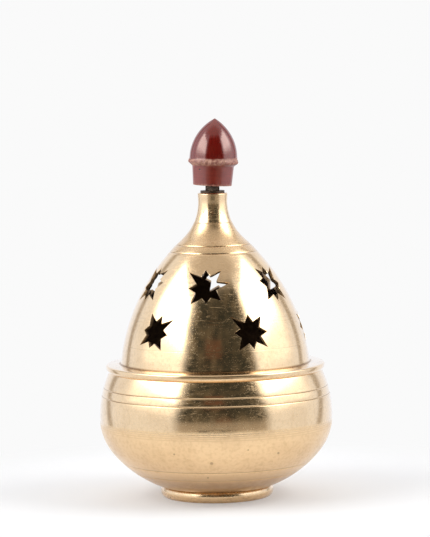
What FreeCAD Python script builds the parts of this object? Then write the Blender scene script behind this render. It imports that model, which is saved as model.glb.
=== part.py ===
import FreeCAD, Part

import math
import os

import Sketcher

# A brass tabletop censer, 149 mm tall: a turned bowl on a foot ring, a loose
# charcoal cup inside it, and a pierced dome lid that lifts off by a wooden
# knob on a threaded stud. Millimetres, +Z up, origin at the middle of the
# foot's resting face. Angles are in degrees, and turns about Z are counted
# from the front (-Y) towards +X.

SIZES = (
    ("foot_radius", 21.6, "where the bowl meets the foot ring"),
    ("foot_height", 4.2, "foot ring, top to bottom"),
    ("foot_wall", 4.0, "from the ring's upper edge in to its opening"),
    ("foot_taper", 0.5, "how much further in the ring's bottom edge is"),
    ("foot_bead", 3.0, "radius of the ring's rounded outer face"),
    ("bowl_radius", 46.0, "at the belly"),
    ("bowl_height", 45.8, "base to rim"),
    ("belly_height", 27.8, "base to the widest point"),
    ("belly_arc", 22.5, "radius of the curve under the widest point"),
    ("belly_turn", 40.0, "how far round that curve goes before the base curve"),
    ("bowl_wall", 1.8, "wall of the bowl"),
    ("bowl_floor", 2.0, "thickness of the bowl's floor"),
    ("rim_inset", 3.9, "from the widest point in to the rim's outer edge"),
    ("rim_width", 1.5, "flat top of the rim"),
    ("line_radius", 0.3, "radius of a turned decorative line"),
    ("bowl_line_first", 6.2, "height of the lowest turned line on the bowl"),
    ("bowl_line_second", 10.0, "height of the second"),
    ("bowl_line_third", 36.6, "height of the third"),
    ("bowl_line_fourth", 39.8, "height of the fourth"),
    ("cup_base", 15.0, "radius of the charcoal cup's flat base"),
    ("cup_radius", 23.5, "radius at the cup's mouth"),
    ("cup_height", 18.0, "charcoal cup, top to bottom"),
    ("cup_wall", 1.0, "sheet thickness of the cup"),
    ("cup_heel", 0.8, "from the base's outer edge in to its inner one"),
    ("cup_lip", 2.0, "how far the cup's rim turns out"),
    ("cup_arc", 28.0, "radius of the cup's flank"),
    ("lid_play", 0.35, "gap all round between the lid's collar and the rim"),
    ("collar_depth", 3.5, "how far the collar reaches into the bowl"),
    ("collar_wall", 1.8, "thickness of the collar"),
    ("flange_overhang", 1.1, "how far the flange stands out past the rim"),
    ("flange_shelf", 5.8, "flat step from the flange's edge to the dome"),
    ("flange_height", 3.05, "flange underside to the dome's foot"),
    ("flange_lip", 2.72, "height of the flange's upper corner"),
    ("flange_band", 2.3, "top of the flange's upright edge"),
    ("flange_undercut", 1.1, "bottom of the flange's upright edge"),
    ("flange_bevel", 0.45, "width of the flange's upper corner"),
    ("flange_slope", 0.9, "width of the flange's lower slope"),
    ("dome_height", 58.3, "flange underside to the seam under the neck"),
    ("dome_arc", 77.0, "radius of the dome's swelling curve"),
    ("dome_wall", 1.6, "wall of the dome"),
    ("dome_line_first", 47.0, "height of the lower turned line on the dome"),
    ("dome_line_second", 49.7, "height of the upper one"),
    ("neck_sweep", 20.0, "radius of the hollow curve from dome to neck"),
    ("throat_radius", 5.75, "neck at its narrowest"),
    ("throat_height", 8.2, "seam to the narrowest point"),
    ("neck_height", 11.6, "seam to the neck's top"),
    ("neck_flare", 0.2, "how much wider the neck's top is than its throat"),
    ("neck_chamfer", 0.4, "chamfer of the neck's top edge"),
    ("socket_radius", 4.5, "hole in the crown for the neck's spigot"),
    ("socket_depth", 4.0, "depth of that hole's straight part"),
    ("solder_gap", 0.03, "gap all round in the spigot's soldered seat"),
    ("stud_radius", 1.5, "M3 stud"),
    ("stud_in_neck", 8.0, "stud below the neck's top"),
    ("stud_in_knob", 11.0, "stud above the nut"),
    ("stud_chamfer", 0.3, "chamfer of the stud's ends"),
    ("stud_fit", 0.05, "running gap all round the stud"),
    ("washer_radius", 4.75, "outside of the washer"),
    ("washer_height", 0.8, "thickness of the washer"),
    ("nut_flats", 5.5, "M3 thin nut, across its flats"),
    ("nut_height", 1.8, "thickness of the nut"),
    ("knob_play", 0.25, "gap between the nut and the knob"),
    ("knob_lean", 3.0, "angle that the knob's bore is out of true"),
    ("knob_base", 7.6, "radius at the knob's underside"),
    ("knob_shank", 8.2, "radius at the top of the knob's shank"),
    ("knob_shank_height", 7.6, "underside to the top of the shank"),
    ("knob_ring", 9.85, "radius of the knob's ring"),
    ("knob_ring_bottom", 8.9, "underside to the ring's lower corner"),
    ("knob_ring_top", 9.6, "underside to the ring's upper corner"),
    ("knob_bulb", 9.4, "radius of the bulb where it leaves the ring"),
    ("knob_bulb_height", 10.5, "underside to that point"),
    ("knob_tip", 0.8, "radius of the blunt tip"),
    ("knob_shoulder", 25.8, "underside to the tip's corner"),
    ("knob_height", 26.3, "underside to the very top"),
    ("star_long", 8.2, "centre to a long point"),
    ("star_short", 6.4, "centre to a short point"),
    ("star_notch", 4.3, "centre to a notch"),
    ("lower_star_height", 17.7, "flange underside to the lower stars"),
    ("upper_star_height", 35.0, "flange underside to the upper stars"),
)

# The stars were set out by eye: the turn of each about Z and its own tilt.
LOWER_STARS = ((317.5, -12.0), (24.0, -2.0), (88.0, 5.0), (134.0, -6.0), (196.0, 8.0), (258.0, 0.0))
UPPER_STARS = ((293.0, 6.0), (353.5, 3.0), (58.0, -5.0), (114.5, 4.0), (174.5, -8.0), (243.0, 2.0))

START, END, CENTRE = 1, 2, 3
ORIGIN_POINT = (-1, 1)
LEVEL_AXIS, UPRIGHT_AXIS, FIRST_EXTERNAL = -1, -2, -3
FULL_TURN = 360.0
STAR_POINTS = 8
HEXAGON_SIDES = 6
NUT_CORNER_ANGLE = 30.0


class Size:
    """A number kept together with the sheet expression that gives it."""

    def __init__(self, value, text=None):
        self.value = float(value)
        self.text = text or repr(float(value))

    def __add__(self, other):
        other = as_size(other)
        return Size(self.value + other.value, f"({self.text} + {other.text})")

    def __sub__(self, other):
        other = as_size(other)
        return Size(self.value - other.value, f"({self.text} - {other.text})")

    def __mul__(self, other):
        other = as_size(other)
        return Size(self.value * other.value, f"({self.text} * {other.text})")

    def __truediv__(self, other):
        other = as_size(other)
        return Size(self.value / other.value, f"({self.text} / {other.text})")


def as_size(item):
    return item if isinstance(item, Size) else Size(item)


def sine(angle):
    return Size(math.sin(math.radians(angle.value)), f"sin({angle.text})")


def cosine(angle):
    return Size(math.cos(math.radians(angle.value)), f"cos({angle.text})")


class Sheet:
    """The spreadsheet of driving sizes; each alias is also an attribute here."""

    def __init__(self, doc):
        self.cells = doc.addObject("Spreadsheet::Sheet", "sizes")
        self.rows = 0
        for alias, value, note in SIZES:
            self.add(alias, value, note)

    def add(self, alias, value, note):
        self.rows += 1
        self.cells.set(f"A{self.rows}", alias)
        self.cells.set(f"B{self.rows}", str(value))
        self.cells.set(f"C{self.rows}", note)
        self.cells.setAlias(f"B{self.rows}", alias)
        size = Size(value, f"sizes.{alias}")
        setattr(self, alias, size)
        return size


class Outline:
    """A sketch on one of a body's own planes, with every dimension tied to the sheet."""

    def __init__(self, body, name, plane="XZ_Plane"):
        self.sketch = body.newObject("Sketcher::SketchObject", name)
        support = [item for item in body.Origin.OriginFeatures if item.Role == plane][0]
        self.sketch.AttachmentSupport = [(support, "")]
        self.sketch.MapMode = "FlatFace"

    def constrain(self, *parts):
        return self.sketch.addConstraint(Sketcher.Constraint(*parts))

    def measure(self, *parts, size):
        index = self.constrain(*parts, size.value)
        self.sketch.setExpression(f"Constraints[{index}]", size.text)

    def line(self, start, end):
        points = [FreeCAD.Vector(place[0].value, place[1].value) for place in (start, end)]
        return self.sketch.addGeometry(Part.LineSegment(*points), False)

    def arc(self, centre, start, end):
        """An arc drawn anticlockwise from start to end, all three given as plain numbers."""
        middle = FreeCAD.Vector(*centre)
        radius = math.dist(centre, start)
        angles = [math.atan2(y - centre[1], x - centre[0]) for x, y in (start, end)]
        circle = Part.Circle(middle, FreeCAD.Vector(0, 0, 1), radius)
        return self.sketch.addGeometry(Part.ArcOfCircle(circle, *angles), False)

    def circle(self, radius, centre=(0.0, 0.0)):
        middle = FreeCAD.Vector(*centre)
        return self.sketch.addGeometry(Part.Circle(middle, FreeCAD.Vector(0, 0, 1), radius), False)

    def across(self, edge, point, size):
        if size.value == 0:
            self.constrain("PointOnObject", edge, point, UPRIGHT_AXIS)
        else:
            self.measure("DistanceX", *ORIGIN_POINT, edge, point, size=size)

    def up(self, edge, point, size):
        if size.value == 0:
            self.constrain("PointOnObject", edge, point, LEVEL_AXIS)
        else:
            self.measure("DistanceY", *ORIGIN_POINT, edge, point, size=size)

    def pin(self, edge, point, place):
        self.across(edge, point, place[0])
        self.up(edge, point, place[1])

    def radius(self, edge, size):
        self.measure("Radius", edge, size=size)

    def join(self, first, first_point, second, second_point):
        self.constrain("Coincident", first, first_point, second, second_point)

    def flow(self, first, first_point, second, second_point):
        """Join two arcs so that one runs smoothly into the other."""
        self.constrain("Tangent", first, first_point, second, second_point)

    def chain(self, places):
        """Lines from place to place, each corner pinned to the sheet. Gives the edges."""
        edges = [self.line(start, end) for start, end in zip(places, places[1:])]
        for edge, place in zip(edges, places):
            self.pin(edge, START, place)
        for edge, after in zip(edges, edges[1:]):
            self.join(edge, END, after, START)
        return edges

    def loop(self, places):
        """A closed polygon."""
        edges = self.chain(list(places) + [places[0]])
        self.join(edges[-1], END, edges[0], START)


def meeting(first, first_radius, second, second_radius):
    """Where two circles cross, on the left of the way from the first to the second."""
    span = math.dist(first, second)
    along = (first_radius**2 - second_radius**2 + span**2) / (2 * span)
    aside = math.sqrt(first_radius**2 - along**2)
    step = ((second[0] - first[0]) / span, (second[1] - first[1]) / span)
    return (first[0] + along * step[0] - aside * step[1], first[1] + along * step[1] + aside * step[0])


def towards(centre, point, radius):
    """The point at a radius from a centre, in the direction of another point."""
    share = radius / math.dist(centre, point)
    return tuple(middle + share * (target - middle) for middle, target in zip(centre, point))


def new_body(doc, name, height):
    """A body standing at a height bound to the sheet."""
    body = doc.addObject("PartDesign::Body", name)
    body.Label = name
    body.setExpression("Placement.Base.z", height.text)
    return body


def turn(body, outline, name, kind="PartDesign::Revolution"):
    """Revolve a half section about the body's own upright axis."""
    feature = body.newObject(kind, name)
    feature.Profile = (outline.sketch, [""])
    feature.ReferenceAxis = (outline.sketch, ["V_Axis"])
    feature.Angle = FULL_TURN
    return feature


def edge_named(sketch, drawn):
    """The name of the sketch's edge that was drawn as this arc; a sketch sorts its edges."""
    radius = sketch.Geometry[drawn].Radius
    arcs = [edge for edge in sketch.Shape.Edges if hasattr(edge.Curve, "Radius")]
    nearest = min(arcs, key=lambda edge: abs(edge.Curve.Radius - radius))
    place = [edge.isSame(nearest) for edge in sketch.Shape.Edges].index(True)
    return f"Edge{place + 1}"


def turned_lines(body, profile, sizes, heights_on_edges):
    """Cut round-bottomed lines into the turned surface, each centred on an edge of its profile."""
    outline = Outline(body, f"{body.Name}_lines_outline")
    body.Document.recompute()
    borrowed = {}
    for edge, height in heights_on_edges:
        if edge not in borrowed:
            outline.sketch.addExternal(profile.sketch.Name, edge_named(profile.sketch, edge))
            borrowed[edge] = FIRST_EXTERNAL - len(borrowed)
        curve = profile.sketch.Geometry[edge]
        rise = height.value - curve.Center.y
        near = (curve.Center.x + math.sqrt(curve.Radius**2 - rise**2), height.value)
        ring = outline.circle(sizes.line_radius.value, near)
        outline.radius(ring, sizes.line_radius)
        outline.constrain("PointOnObject", ring, CENTRE, borrowed[edge])
        outline.up(ring, CENTRE, height)
    turn(body, outline, f"{body.Name}_lines", "PartDesign::Groove")


def make_foot_ring(doc, sizes):
    body = new_body(doc, "foot_ring", Size(0))
    outline = Outline(body, "foot_outline")
    low = sizes.foot_radius - sizes.foot_taper
    places = [
        (sizes.foot_radius, sizes.foot_height),
        (sizes.foot_bore, sizes.foot_height),
        (sizes.foot_bore, Size(0)),
        (low, Size(0)),
    ]
    edges = outline.chain(places)
    ends = ((low.value, 0.0), (sizes.foot_radius.value, sizes.foot_height.value))
    centre = meeting(ends[0], sizes.foot_bead.value, ends[1], sizes.foot_bead.value)
    bead = outline.arc(centre, *ends)
    outline.pin(bead, START, places[-1])
    outline.join(edges[-1], END, bead, START)
    outline.join(bead, END, edges[0], START)
    outline.radius(bead, sizes.foot_bead)
    turn(body, outline, "foot_turned")
    return body


def make_bowl(doc, sizes):
    body = new_body(doc, "bowl", sizes.foot_height)
    outline = Outline(body, "bowl_outline")
    wall = sizes.bowl_wall.value
    widest = (sizes.bowl_radius.value, sizes.belly_height.value)
    rim = (sizes.rim_radius.value, sizes.bowl_height.value)
    base = (sizes.foot_radius.value, 0.0)
    floor = sizes.bowl_floor.value
    mouth = sizes.mouth_radius.value

    # the belly curve is centred level with the widest point
    belly_centre = (sizes.bowl_radius - sizes.belly_arc, sizes.belly_height)
    belly = (belly_centre[0].value, belly_centre[1].value)
    slope = math.radians(sizes.belly_turn.value)
    lean = (math.cos(slope), -math.sin(slope))
    joint = tuple(middle + sizes.belly_arc.value * part for middle, part in zip(belly, lean))
    # the base curve leaves it smoothly and ends at the foot
    chord = (base[0] - joint[0], base[1] - joint[1])
    base_radius = (chord[0] ** 2 + chord[1] ** 2) / (-2 * (chord[0] * lean[0] + chord[1] * lean[1]))
    base_centre = tuple(place - base_radius * part for place, part in zip(joint, lean))
    # the shoulder curve is upright at the widest point and ends at the rim
    inset = widest[0] - rim[0]
    shoulder_radius = (inset**2 + (rim[1] - widest[1]) ** 2) / (2 * inset)
    shoulder = (widest[0] - shoulder_radius, widest[1])

    outer_base = outline.arc(base_centre, base, joint)
    outer_belly = outline.arc(belly, joint, widest)
    outer_shoulder = outline.arc(shoulder, widest, rim)
    inner_widest = (widest[0] - wall, widest[1])
    inner_joint = tuple(place - wall * part for place, part in zip(joint, lean))
    floor_reach = math.sqrt((base_radius - wall) ** 2 - (base_centre[1] - floor) ** 2)
    inner_floor = (base_centre[0] + floor_reach, floor)
    mouth_rise = math.sqrt((shoulder_radius - wall) ** 2 - (mouth - shoulder[0]) ** 2)
    inner_mouth = (mouth, shoulder[1] + mouth_rise)
    inner_base = outline.arc(base_centre, inner_floor, inner_joint)
    inner_belly = outline.arc(belly, inner_joint, inner_widest)
    inner_shoulder = outline.arc(shoulder, inner_widest, inner_mouth)

    rim_place = (sizes.rim_radius, sizes.bowl_height)
    mouth_place = (sizes.mouth_radius, sizes.bowl_height)
    rim_top = outline.line(rim_place, mouth_place)
    register = outline.line(mouth_place, tuple(Size(part) for part in inner_mouth))
    floor_top = outline.line(tuple(Size(part) for part in inner_floor), (Size(0), sizes.bowl_floor))
    middle = outline.line((Size(0), sizes.bowl_floor), (Size(0), Size(0)))
    under = outline.line((Size(0), Size(0)), (sizes.foot_radius, Size(0)))

    outline.pin(outer_belly, CENTRE, belly_centre)
    outline.radius(outer_belly, sizes.belly_arc)
    outline.up(outer_belly, START, sizes.belly_height - sizes.belly_arc * sine(sizes.belly_turn))
    outline.flow(outer_base, END, outer_belly, START)
    outline.flow(outer_belly, END, outer_shoulder, START)
    outline.up(outer_shoulder, CENTRE, sizes.belly_height)
    outline.pin(outer_shoulder, END, rim_place)
    outline.pin(outer_base, START, (sizes.foot_radius, Size(0)))
    outline.join(inner_base, CENTRE, outer_base, CENTRE)
    outline.join(inner_belly, CENTRE, outer_belly, CENTRE)
    outline.join(inner_shoulder, CENTRE, outer_shoulder, CENTRE)
    outline.radius(inner_belly, sizes.belly_arc - sizes.bowl_wall)
    outline.flow(inner_base, END, inner_belly, START)
    outline.flow(inner_belly, END, inner_shoulder, START)
    outline.join(outer_shoulder, END, rim_top, START)
    outline.pin(rim_top, END, mouth_place)
    outline.join(rim_top, END, register, START)
    outline.constrain("Vertical", register)
    outline.join(register, END, inner_shoulder, END)
    outline.up(inner_base, START, sizes.bowl_floor)
    outline.join(inner_base, START, floor_top, START)
    outline.pin(floor_top, END, (Size(0), sizes.bowl_floor))
    outline.join(floor_top, END, middle, START)
    outline.pin(middle, END, (Size(0), Size(0)))
    outline.join(middle, END, under, START)
    outline.join(under, END, outer_base, START)
    turn(body, outline, "bowl_turned")
    lines = (
        (outer_base, sizes.bowl_line_first),
        (outer_base, sizes.bowl_line_second),
        (outer_shoulder, sizes.bowl_line_third),
        (outer_shoulder, sizes.bowl_line_fourth),
    )
    turned_lines(body, outline, sizes, lines)
    return body


def make_charcoal_cup(doc, sizes):
    body = new_body(doc, "charcoal_cup", sizes.foot_height + sizes.bowl_floor)
    outline = Outline(body, "cup_outline")
    inner_base = sizes.cup_base - sizes.cup_heel
    under_lip = sizes.cup_height - sizes.cup_wall
    inner_mouth = sizes.cup_radius - sizes.cup_wall
    places = [
        (inner_base, sizes.cup_wall),
        (Size(0), sizes.cup_wall),
        (Size(0), Size(0)),
        (sizes.cup_base, Size(0)),
    ]
    floor = outline.chain(places)
    lip_places = [
        (sizes.cup_radius, under_lip),
        (sizes.cup_radius + sizes.cup_lip, under_lip),
        (sizes.cup_radius + sizes.cup_lip, sizes.cup_height),
        (inner_mouth, sizes.cup_height),
    ]
    lip = outline.chain(lip_places)
    arcs = []
    flanks = (
        (places[-1], lip_places[0], sizes.cup_arc),
        (places[0], lip_places[-1], sizes.cup_arc - sizes.cup_wall),
    )
    for low, high, radius in flanks:
        ends = [tuple(part.value for part in place) for place in (low, high)]
        flank = outline.arc(meeting(ends[0], radius.value, ends[1], radius.value), *ends)
        outline.pin(flank, START if low is places[-1] else END, low if low is places[-1] else high)
        outline.radius(flank, radius)
        arcs.append(flank)
    outline.join(floor[-1], END, arcs[0], START)
    outline.join(arcs[0], END, lip[0], START)
    outline.join(lip[-1], END, arcs[1], END)
    outline.join(arcs[1], START, floor[0], START)
    turn(body, outline, "cup_turned")
    return body


def star_places(sizes, height, tilt):
    """The corners of an eight-pointed star: long points on the diagonals, short ones between."""
    places = []
    step = FULL_TURN / (2 * STAR_POINTS)
    for corner in range(2 * STAR_POINTS):
        reach = sizes.star_notch
        if corner % 2 == 0:
            reach = sizes.star_short if corner % 4 == 0 else sizes.star_long
        angle = tilt + Size(corner * step)
        places.append((reach * cosine(angle), height + reach * sine(angle)))
    return places


def cut_stars(body, sizes, row, height, stars):
    """Cut one row of stars from the dome's axis outwards."""
    for number, (about, tilted) in enumerate(stars, start=1):
        name = f"{row}_star_{number}"
        facing = sizes.add(f"{name}_turn", about, f"turn of {row} star {number} about Z")
        tilt = sizes.add(f"{name}_tilt", tilted, f"tilt of {row} star {number}")
        outline = Outline(body, f"{name}_outline")
        outline.sketch.AttachmentOffset = FreeCAD.Placement(
            FreeCAD.Vector(), FreeCAD.Rotation(FreeCAD.Vector(0, 1, 0), facing.value)
        )
        outline.sketch.setExpression("AttachmentOffset.Rotation.Angle", facing.text)
        outline.loop(star_places(sizes, height, tilt))
        pocket = body.newObject("PartDesign::Pocket", name)
        pocket.Profile = (outline.sketch, [""])
        pocket.Reversed = True
        pocket.setExpression("Length", sizes.bowl_radius.text)


def make_lid_dome(doc, sizes):
    body = new_body(doc, "lid_dome", sizes.foot_height + sizes.bowl_height)
    outline = Outline(body, "dome_outline")
    wall = sizes.dome_wall.value
    sweep_centre = (sizes.throat_radius + sizes.neck_sweep, sizes.dome_height + sizes.throat_height)
    sweep = (sweep_centre[0].value, sweep_centre[1].value)
    sweep_radius = sizes.neck_sweep.value
    dome_radius = sizes.dome_arc.value
    foot = (sizes.dome_radius.value, sizes.flange_height.value)
    crown = sizes.dome_height.value
    socket_floor = (sizes.dome_height - sizes.socket_depth).value

    # the dome's curve passes its foot and touches the hollow curve of the neck
    dome = meeting(foot, dome_radius, sweep, dome_radius + sweep_radius)
    blend = towards(sweep, dome, sweep_radius)
    inner_blend = towards(sweep, dome, sweep_radius + wall)
    crown_edge = (sweep[0] - math.sqrt(sweep_radius**2 - (sweep[1] - crown) ** 2), crown)
    socket_reach = math.sqrt((sweep_radius + wall) ** 2 - (sweep[1] - socket_floor) ** 2)
    socket_edge = (sweep[0] - socket_reach, socket_floor)
    inner_foot = (dome[0] + math.sqrt((dome_radius - wall) ** 2 - dome[1] ** 2), 0.0)
    outer_dome = outline.arc(dome, foot, blend)
    outer_sweep = outline.arc(sweep, crown_edge, blend)
    inner_dome = outline.arc(dome, inner_foot, inner_blend)
    inner_sweep = outline.arc(sweep, socket_edge, inner_blend)

    socket_top = (sizes.socket_radius, sizes.dome_height)
    crown_line = outline.line((Size(crown_edge[0]), sizes.dome_height), socket_top)
    socket_bottom = (sizes.socket_radius, sizes.dome_height - sizes.socket_depth)
    socket_wall = outline.line(socket_top, socket_bottom)
    socket_under = outline.line(socket_bottom, (Size(socket_edge[0]), socket_bottom[1]))
    collar_outside = sizes.mouth_radius - sizes.lid_play
    collar_inside = collar_outside - sizes.collar_wall
    collar_end = Size(0) - sizes.collar_depth
    edges = outline.chain([
        (collar_inside, Size(0)),
        (collar_inside, collar_end),
        (collar_outside, collar_end),
        (collar_outside, Size(0)),
        (sizes.flange_radius - sizes.flange_slope, Size(0)),
        (sizes.flange_radius, sizes.flange_undercut),
        (sizes.flange_radius, sizes.flange_band),
        (sizes.flange_radius - sizes.flange_bevel, sizes.flange_lip),
        (sizes.dome_radius, sizes.flange_height),
    ])
    inner_shelf = outline.line((Size(inner_foot[0]), Size(0)), (collar_inside, Size(0)))

    outline.pin(outer_sweep, CENTRE, sweep_centre)
    outline.radius(outer_sweep, sizes.neck_sweep)
    outline.radius(outer_dome, sizes.dome_arc)
    outline.pin(outer_dome, START, (sizes.dome_radius, sizes.flange_height))
    outline.flow(outer_dome, END, outer_sweep, END)
    outline.up(outer_sweep, START, sizes.dome_height)
    outline.join(inner_dome, CENTRE, outer_dome, CENTRE)
    outline.join(inner_sweep, CENTRE, outer_sweep, CENTRE)
    outline.radius(inner_dome, sizes.dome_arc - sizes.dome_wall)
    outline.flow(inner_dome, END, inner_sweep, END)
    outline.up(inner_dome, START, Size(0))
    outline.join(outer_sweep, START, crown_line, START)
    outline.pin(crown_line, END, socket_top)
    outline.join(crown_line, END, socket_wall, START)
    outline.pin(socket_wall, END, socket_bottom)
    outline.join(socket_wall, END, socket_under, START)
    outline.constrain("Horizontal", socket_under)
    outline.join(socket_under, END, inner_sweep, START)
    outline.join(edges[-1], END, outer_dome, START)
    outline.join(inner_dome, START, inner_shelf, START)
    outline.join(inner_shelf, END, edges[0], START)
    turn(body, outline, "dome_turned")
    lines = ((outer_dome, sizes.dome_line_first), (outer_dome, sizes.dome_line_second))
    turned_lines(body, outline, sizes, lines)
    cut_stars(body, sizes, "lower", sizes.lower_star_height, LOWER_STARS)
    cut_stars(body, sizes, "upper", sizes.upper_star_height, UPPER_STARS)
    return body


def make_neck(doc, sizes):
    body = new_body(doc, "neck", sizes.seam_level)
    outline = Outline(body, "neck_outline")
    sweep_centre = (sizes.throat_radius + sizes.neck_sweep, sizes.throat_height)
    sweep = (sweep_centre[0].value, sweep_centre[1].value)
    foot = sweep[0] - math.sqrt(sizes.neck_sweep.value**2 - sweep[1] ** 2)
    throat = (sizes.throat_radius, sizes.throat_height)
    top = sizes.throat_radius + sizes.neck_flare
    bore = sizes.stud_radius + sizes.stud_fit
    spigot = sizes.socket_radius - sizes.solder_gap
    spigot_end = Size(0) - (sizes.socket_depth - sizes.solder_gap)
    curve = outline.arc(sweep, (throat[0].value, throat[1].value), (foot, 0.0))
    edges = outline.chain([
        throat,
        (top, sizes.neck_height - sizes.neck_chamfer),
        (top - sizes.neck_chamfer, sizes.neck_height),
        (bore, sizes.neck_height),
        (bore, sizes.neck_height - sizes.stud_in_neck),
        (Size(0), sizes.neck_height - sizes.stud_in_neck),
        (Size(0), spigot_end),
        (spigot, spigot_end),
        (spigot, Size(0)),
    ])
    seat = outline.line((spigot, Size(0)), (Size(foot), Size(0)))
    outline.pin(curve, CENTRE, sweep_centre)
    outline.join(curve, START, edges[0], START)
    outline.pin(edges[-1], END, (spigot, Size(0)))
    outline.join(edges[-1], END, seat, START)
    outline.up(seat, END, Size(0))
    outline.join(seat, END, curve, END)
    turn(body, outline, "neck_turned")
    return body


def make_stud(doc, sizes):
    body = new_body(doc, "stud", sizes.neck_top - sizes.stud_in_neck)
    outline = Outline(body, "stud_outline")
    length = sizes.stud_in_neck + sizes.washer_height + sizes.nut_height + sizes.stud_in_knob
    inset = sizes.stud_radius - sizes.stud_chamfer
    outline.loop([
        (Size(0), Size(0)),
        (inset, Size(0)),
        (sizes.stud_radius, sizes.stud_chamfer),
        (sizes.stud_radius, length - sizes.stud_chamfer),
        (inset, length),
        (Size(0), length),
    ])
    turn(body, outline, "stud_turned")
    return body


def make_washer(doc, sizes):
    body = new_body(doc, "washer", sizes.neck_top)
    outline = Outline(body, "washer_outline")
    bore = sizes.stud_radius + sizes.stud_fit
    outline.loop([
        (bore, Size(0)),
        (sizes.washer_radius, Size(0)),
        (sizes.washer_radius, sizes.washer_height),
        (bore, sizes.washer_height),
    ])
    turn(body, outline, "washer_turned")
    return body


def make_nut(doc, sizes):
    body = new_body(doc, "nut", sizes.neck_top + sizes.washer_height)
    outline = Outline(body, "nut_outline", "XY_Plane")
    corner = sizes.nut_flats / math.sqrt(3)
    half_side = FULL_TURN / (2 * HEXAGON_SIDES)
    angles = [Size(half_side * (2 * side + 1)) for side in range(HEXAGON_SIDES)]
    outline.loop([(corner * cosine(angle), corner * sine(angle)) for angle in angles])
    bore = sizes.stud_radius + sizes.stud_fit
    hole = outline.circle(bore.value)
    outline.pin(hole, CENTRE, (Size(0), Size(0)))
    outline.radius(hole, bore)
    block = body.newObject("PartDesign::Pad", "nut_block")
    block.Profile = (outline.sketch, [""])
    block.setExpression("Length", sizes.nut_height.text)
    # the hexagon's upper corners are turned off to the width across the flats
    flat = sizes.nut_flats / 2
    beyond = corner + sizes.stud_chamfer
    trim = Outline(body, "nut_corner_outline")
    drop = (beyond - flat) * math.tan(math.radians(NUT_CORNER_ANGLE))
    trim.loop([
        (flat, sizes.nut_height),
        (beyond, sizes.nut_height),
        (beyond, sizes.nut_height - drop),
    ])
    turn(body, trim, "nut_corners", "PartDesign::Groove")
    return body


def make_knob(doc, sizes):
    body = new_body(doc, "knob", sizes.nut_top + sizes.knob_play)
    outline = Outline(body, "knob_outline")
    shoulder = (sizes.knob_tip, sizes.knob_shoulder)
    bulb = (sizes.knob_bulb, sizes.knob_bulb_height)
    edges = outline.chain([
        (Size(0), sizes.knob_height),
        (Size(0), Size(0)),
        (sizes.knob_base, Size(0)),
        (sizes.knob_shank, sizes.knob_shank_height),
        (sizes.knob_ring, sizes.knob_ring_bottom),
        (sizes.knob_ring, sizes.knob_ring_top),
        bulb,
    ])
    inset = bulb[0].value - shoulder[0].value
    rise = shoulder[1].value - bulb[1].value
    radius = (inset**2 + rise**2) / (2 * inset)
    centre = (bulb[0].value - radius, bulb[1].value)
    curve = outline.arc(centre, (bulb[0].value, bulb[1].value), (shoulder[0].value, shoulder[1].value))
    tip = outline.line(shoulder, (Size(0), sizes.knob_height))
    outline.pin(curve, START, bulb)
    outline.pin(curve, END, shoulder)
    outline.up(curve, CENTRE, bulb[1])
    outline.join(edges[-1], END, curve, START)
    outline.join(curve, END, tip, START)
    outline.join(tip, END, edges[0], START)
    turn(body, outline, "knob_turned")
    # the bore is upright, and the knob turned round it leans
    bore_outline = Outline(body, "bore_outline", "XY_Plane")
    bore_outline.sketch.AttachmentOffset = FreeCAD.Placement(
        FreeCAD.Vector(), FreeCAD.Rotation(FreeCAD.Vector(0, -1, 0), sizes.knob_lean.value)
    )
    bore_outline.sketch.setExpression("AttachmentOffset.Rotation.Angle", sizes.knob_lean.text)
    bore = sizes.stud_radius + sizes.stud_fit
    hole = bore_outline.circle(bore.value)
    bore_outline.pin(hole, CENTRE, (Size(0), Size(0)))
    bore_outline.radius(hole, bore)
    pocket = body.newObject("PartDesign::Pocket", "stud_bore")
    pocket.Profile = (bore_outline.sketch, [""])
    pocket.Midplane = True
    pocket.setExpression("Length", (sizes.stud_in_knob * 2).text)
    body.Placement = FreeCAD.Placement(
        FreeCAD.Vector(), FreeCAD.Rotation(FreeCAD.Vector(0, 1, 0), sizes.knob_lean.value)
    )
    body.setExpression("Placement.Rotation.Angle", sizes.knob_lean.text)
    return body


def derived(sizes):
    """Sizes that neighbours share, each worked out once from the sheet."""
    sizes.foot_bore = sizes.foot_radius - sizes.foot_wall
    sizes.rim_radius = sizes.bowl_radius - sizes.rim_inset
    sizes.mouth_radius = sizes.rim_radius - sizes.rim_width
    sizes.flange_radius = sizes.rim_radius + sizes.flange_overhang
    sizes.dome_radius = sizes.flange_radius - sizes.flange_shelf
    sizes.seam_level = sizes.foot_height + sizes.bowl_height + sizes.dome_height
    sizes.neck_top = sizes.seam_level + sizes.neck_height
    sizes.nut_top = sizes.neck_top + sizes.washer_height + sizes.nut_height


def check(doc, bodies):
    """Stop on any failed feature, and on any piece that is empty or not sound."""
    for item in doc.Objects:
        if {"Invalid", "Error"} & set(item.State):
            raise RuntimeError(f"{item.Name} failed: {item.State}")
    for body in bodies:
        if body.Shape.isNull() or not body.Shape.isValid() or len(body.Shape.Solids) != 1:
            raise RuntimeError(f"{body.Label} is not one sound solid")


def main():
    doc = FreeCAD.newDocument("censer")
    sizes = Sheet(doc)
    derived(sizes)
    makers = (
        make_foot_ring, make_bowl, make_charcoal_cup, make_lid_dome, make_neck,
        make_stud, make_washer, make_nut, make_knob,
    )
    bodies = [maker(doc, sizes) for maker in makers]
    doc.recompute()
    check(doc, bodies)
    os.makedirs("parts", exist_ok=True)
    for body in bodies:
        body.Shape.exportStep(f"parts/{body.Label}.step")
        box = body.Shape.BoundBox
        print(f"{body.Label:13} {body.Shape.Volume:10.1f} mm3   z {box.ZMin:7.2f} to {box.ZMax:7.2f}"
              f"   x {box.XMin:7.2f} to {box.XMax:7.2f}")


main()
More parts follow.
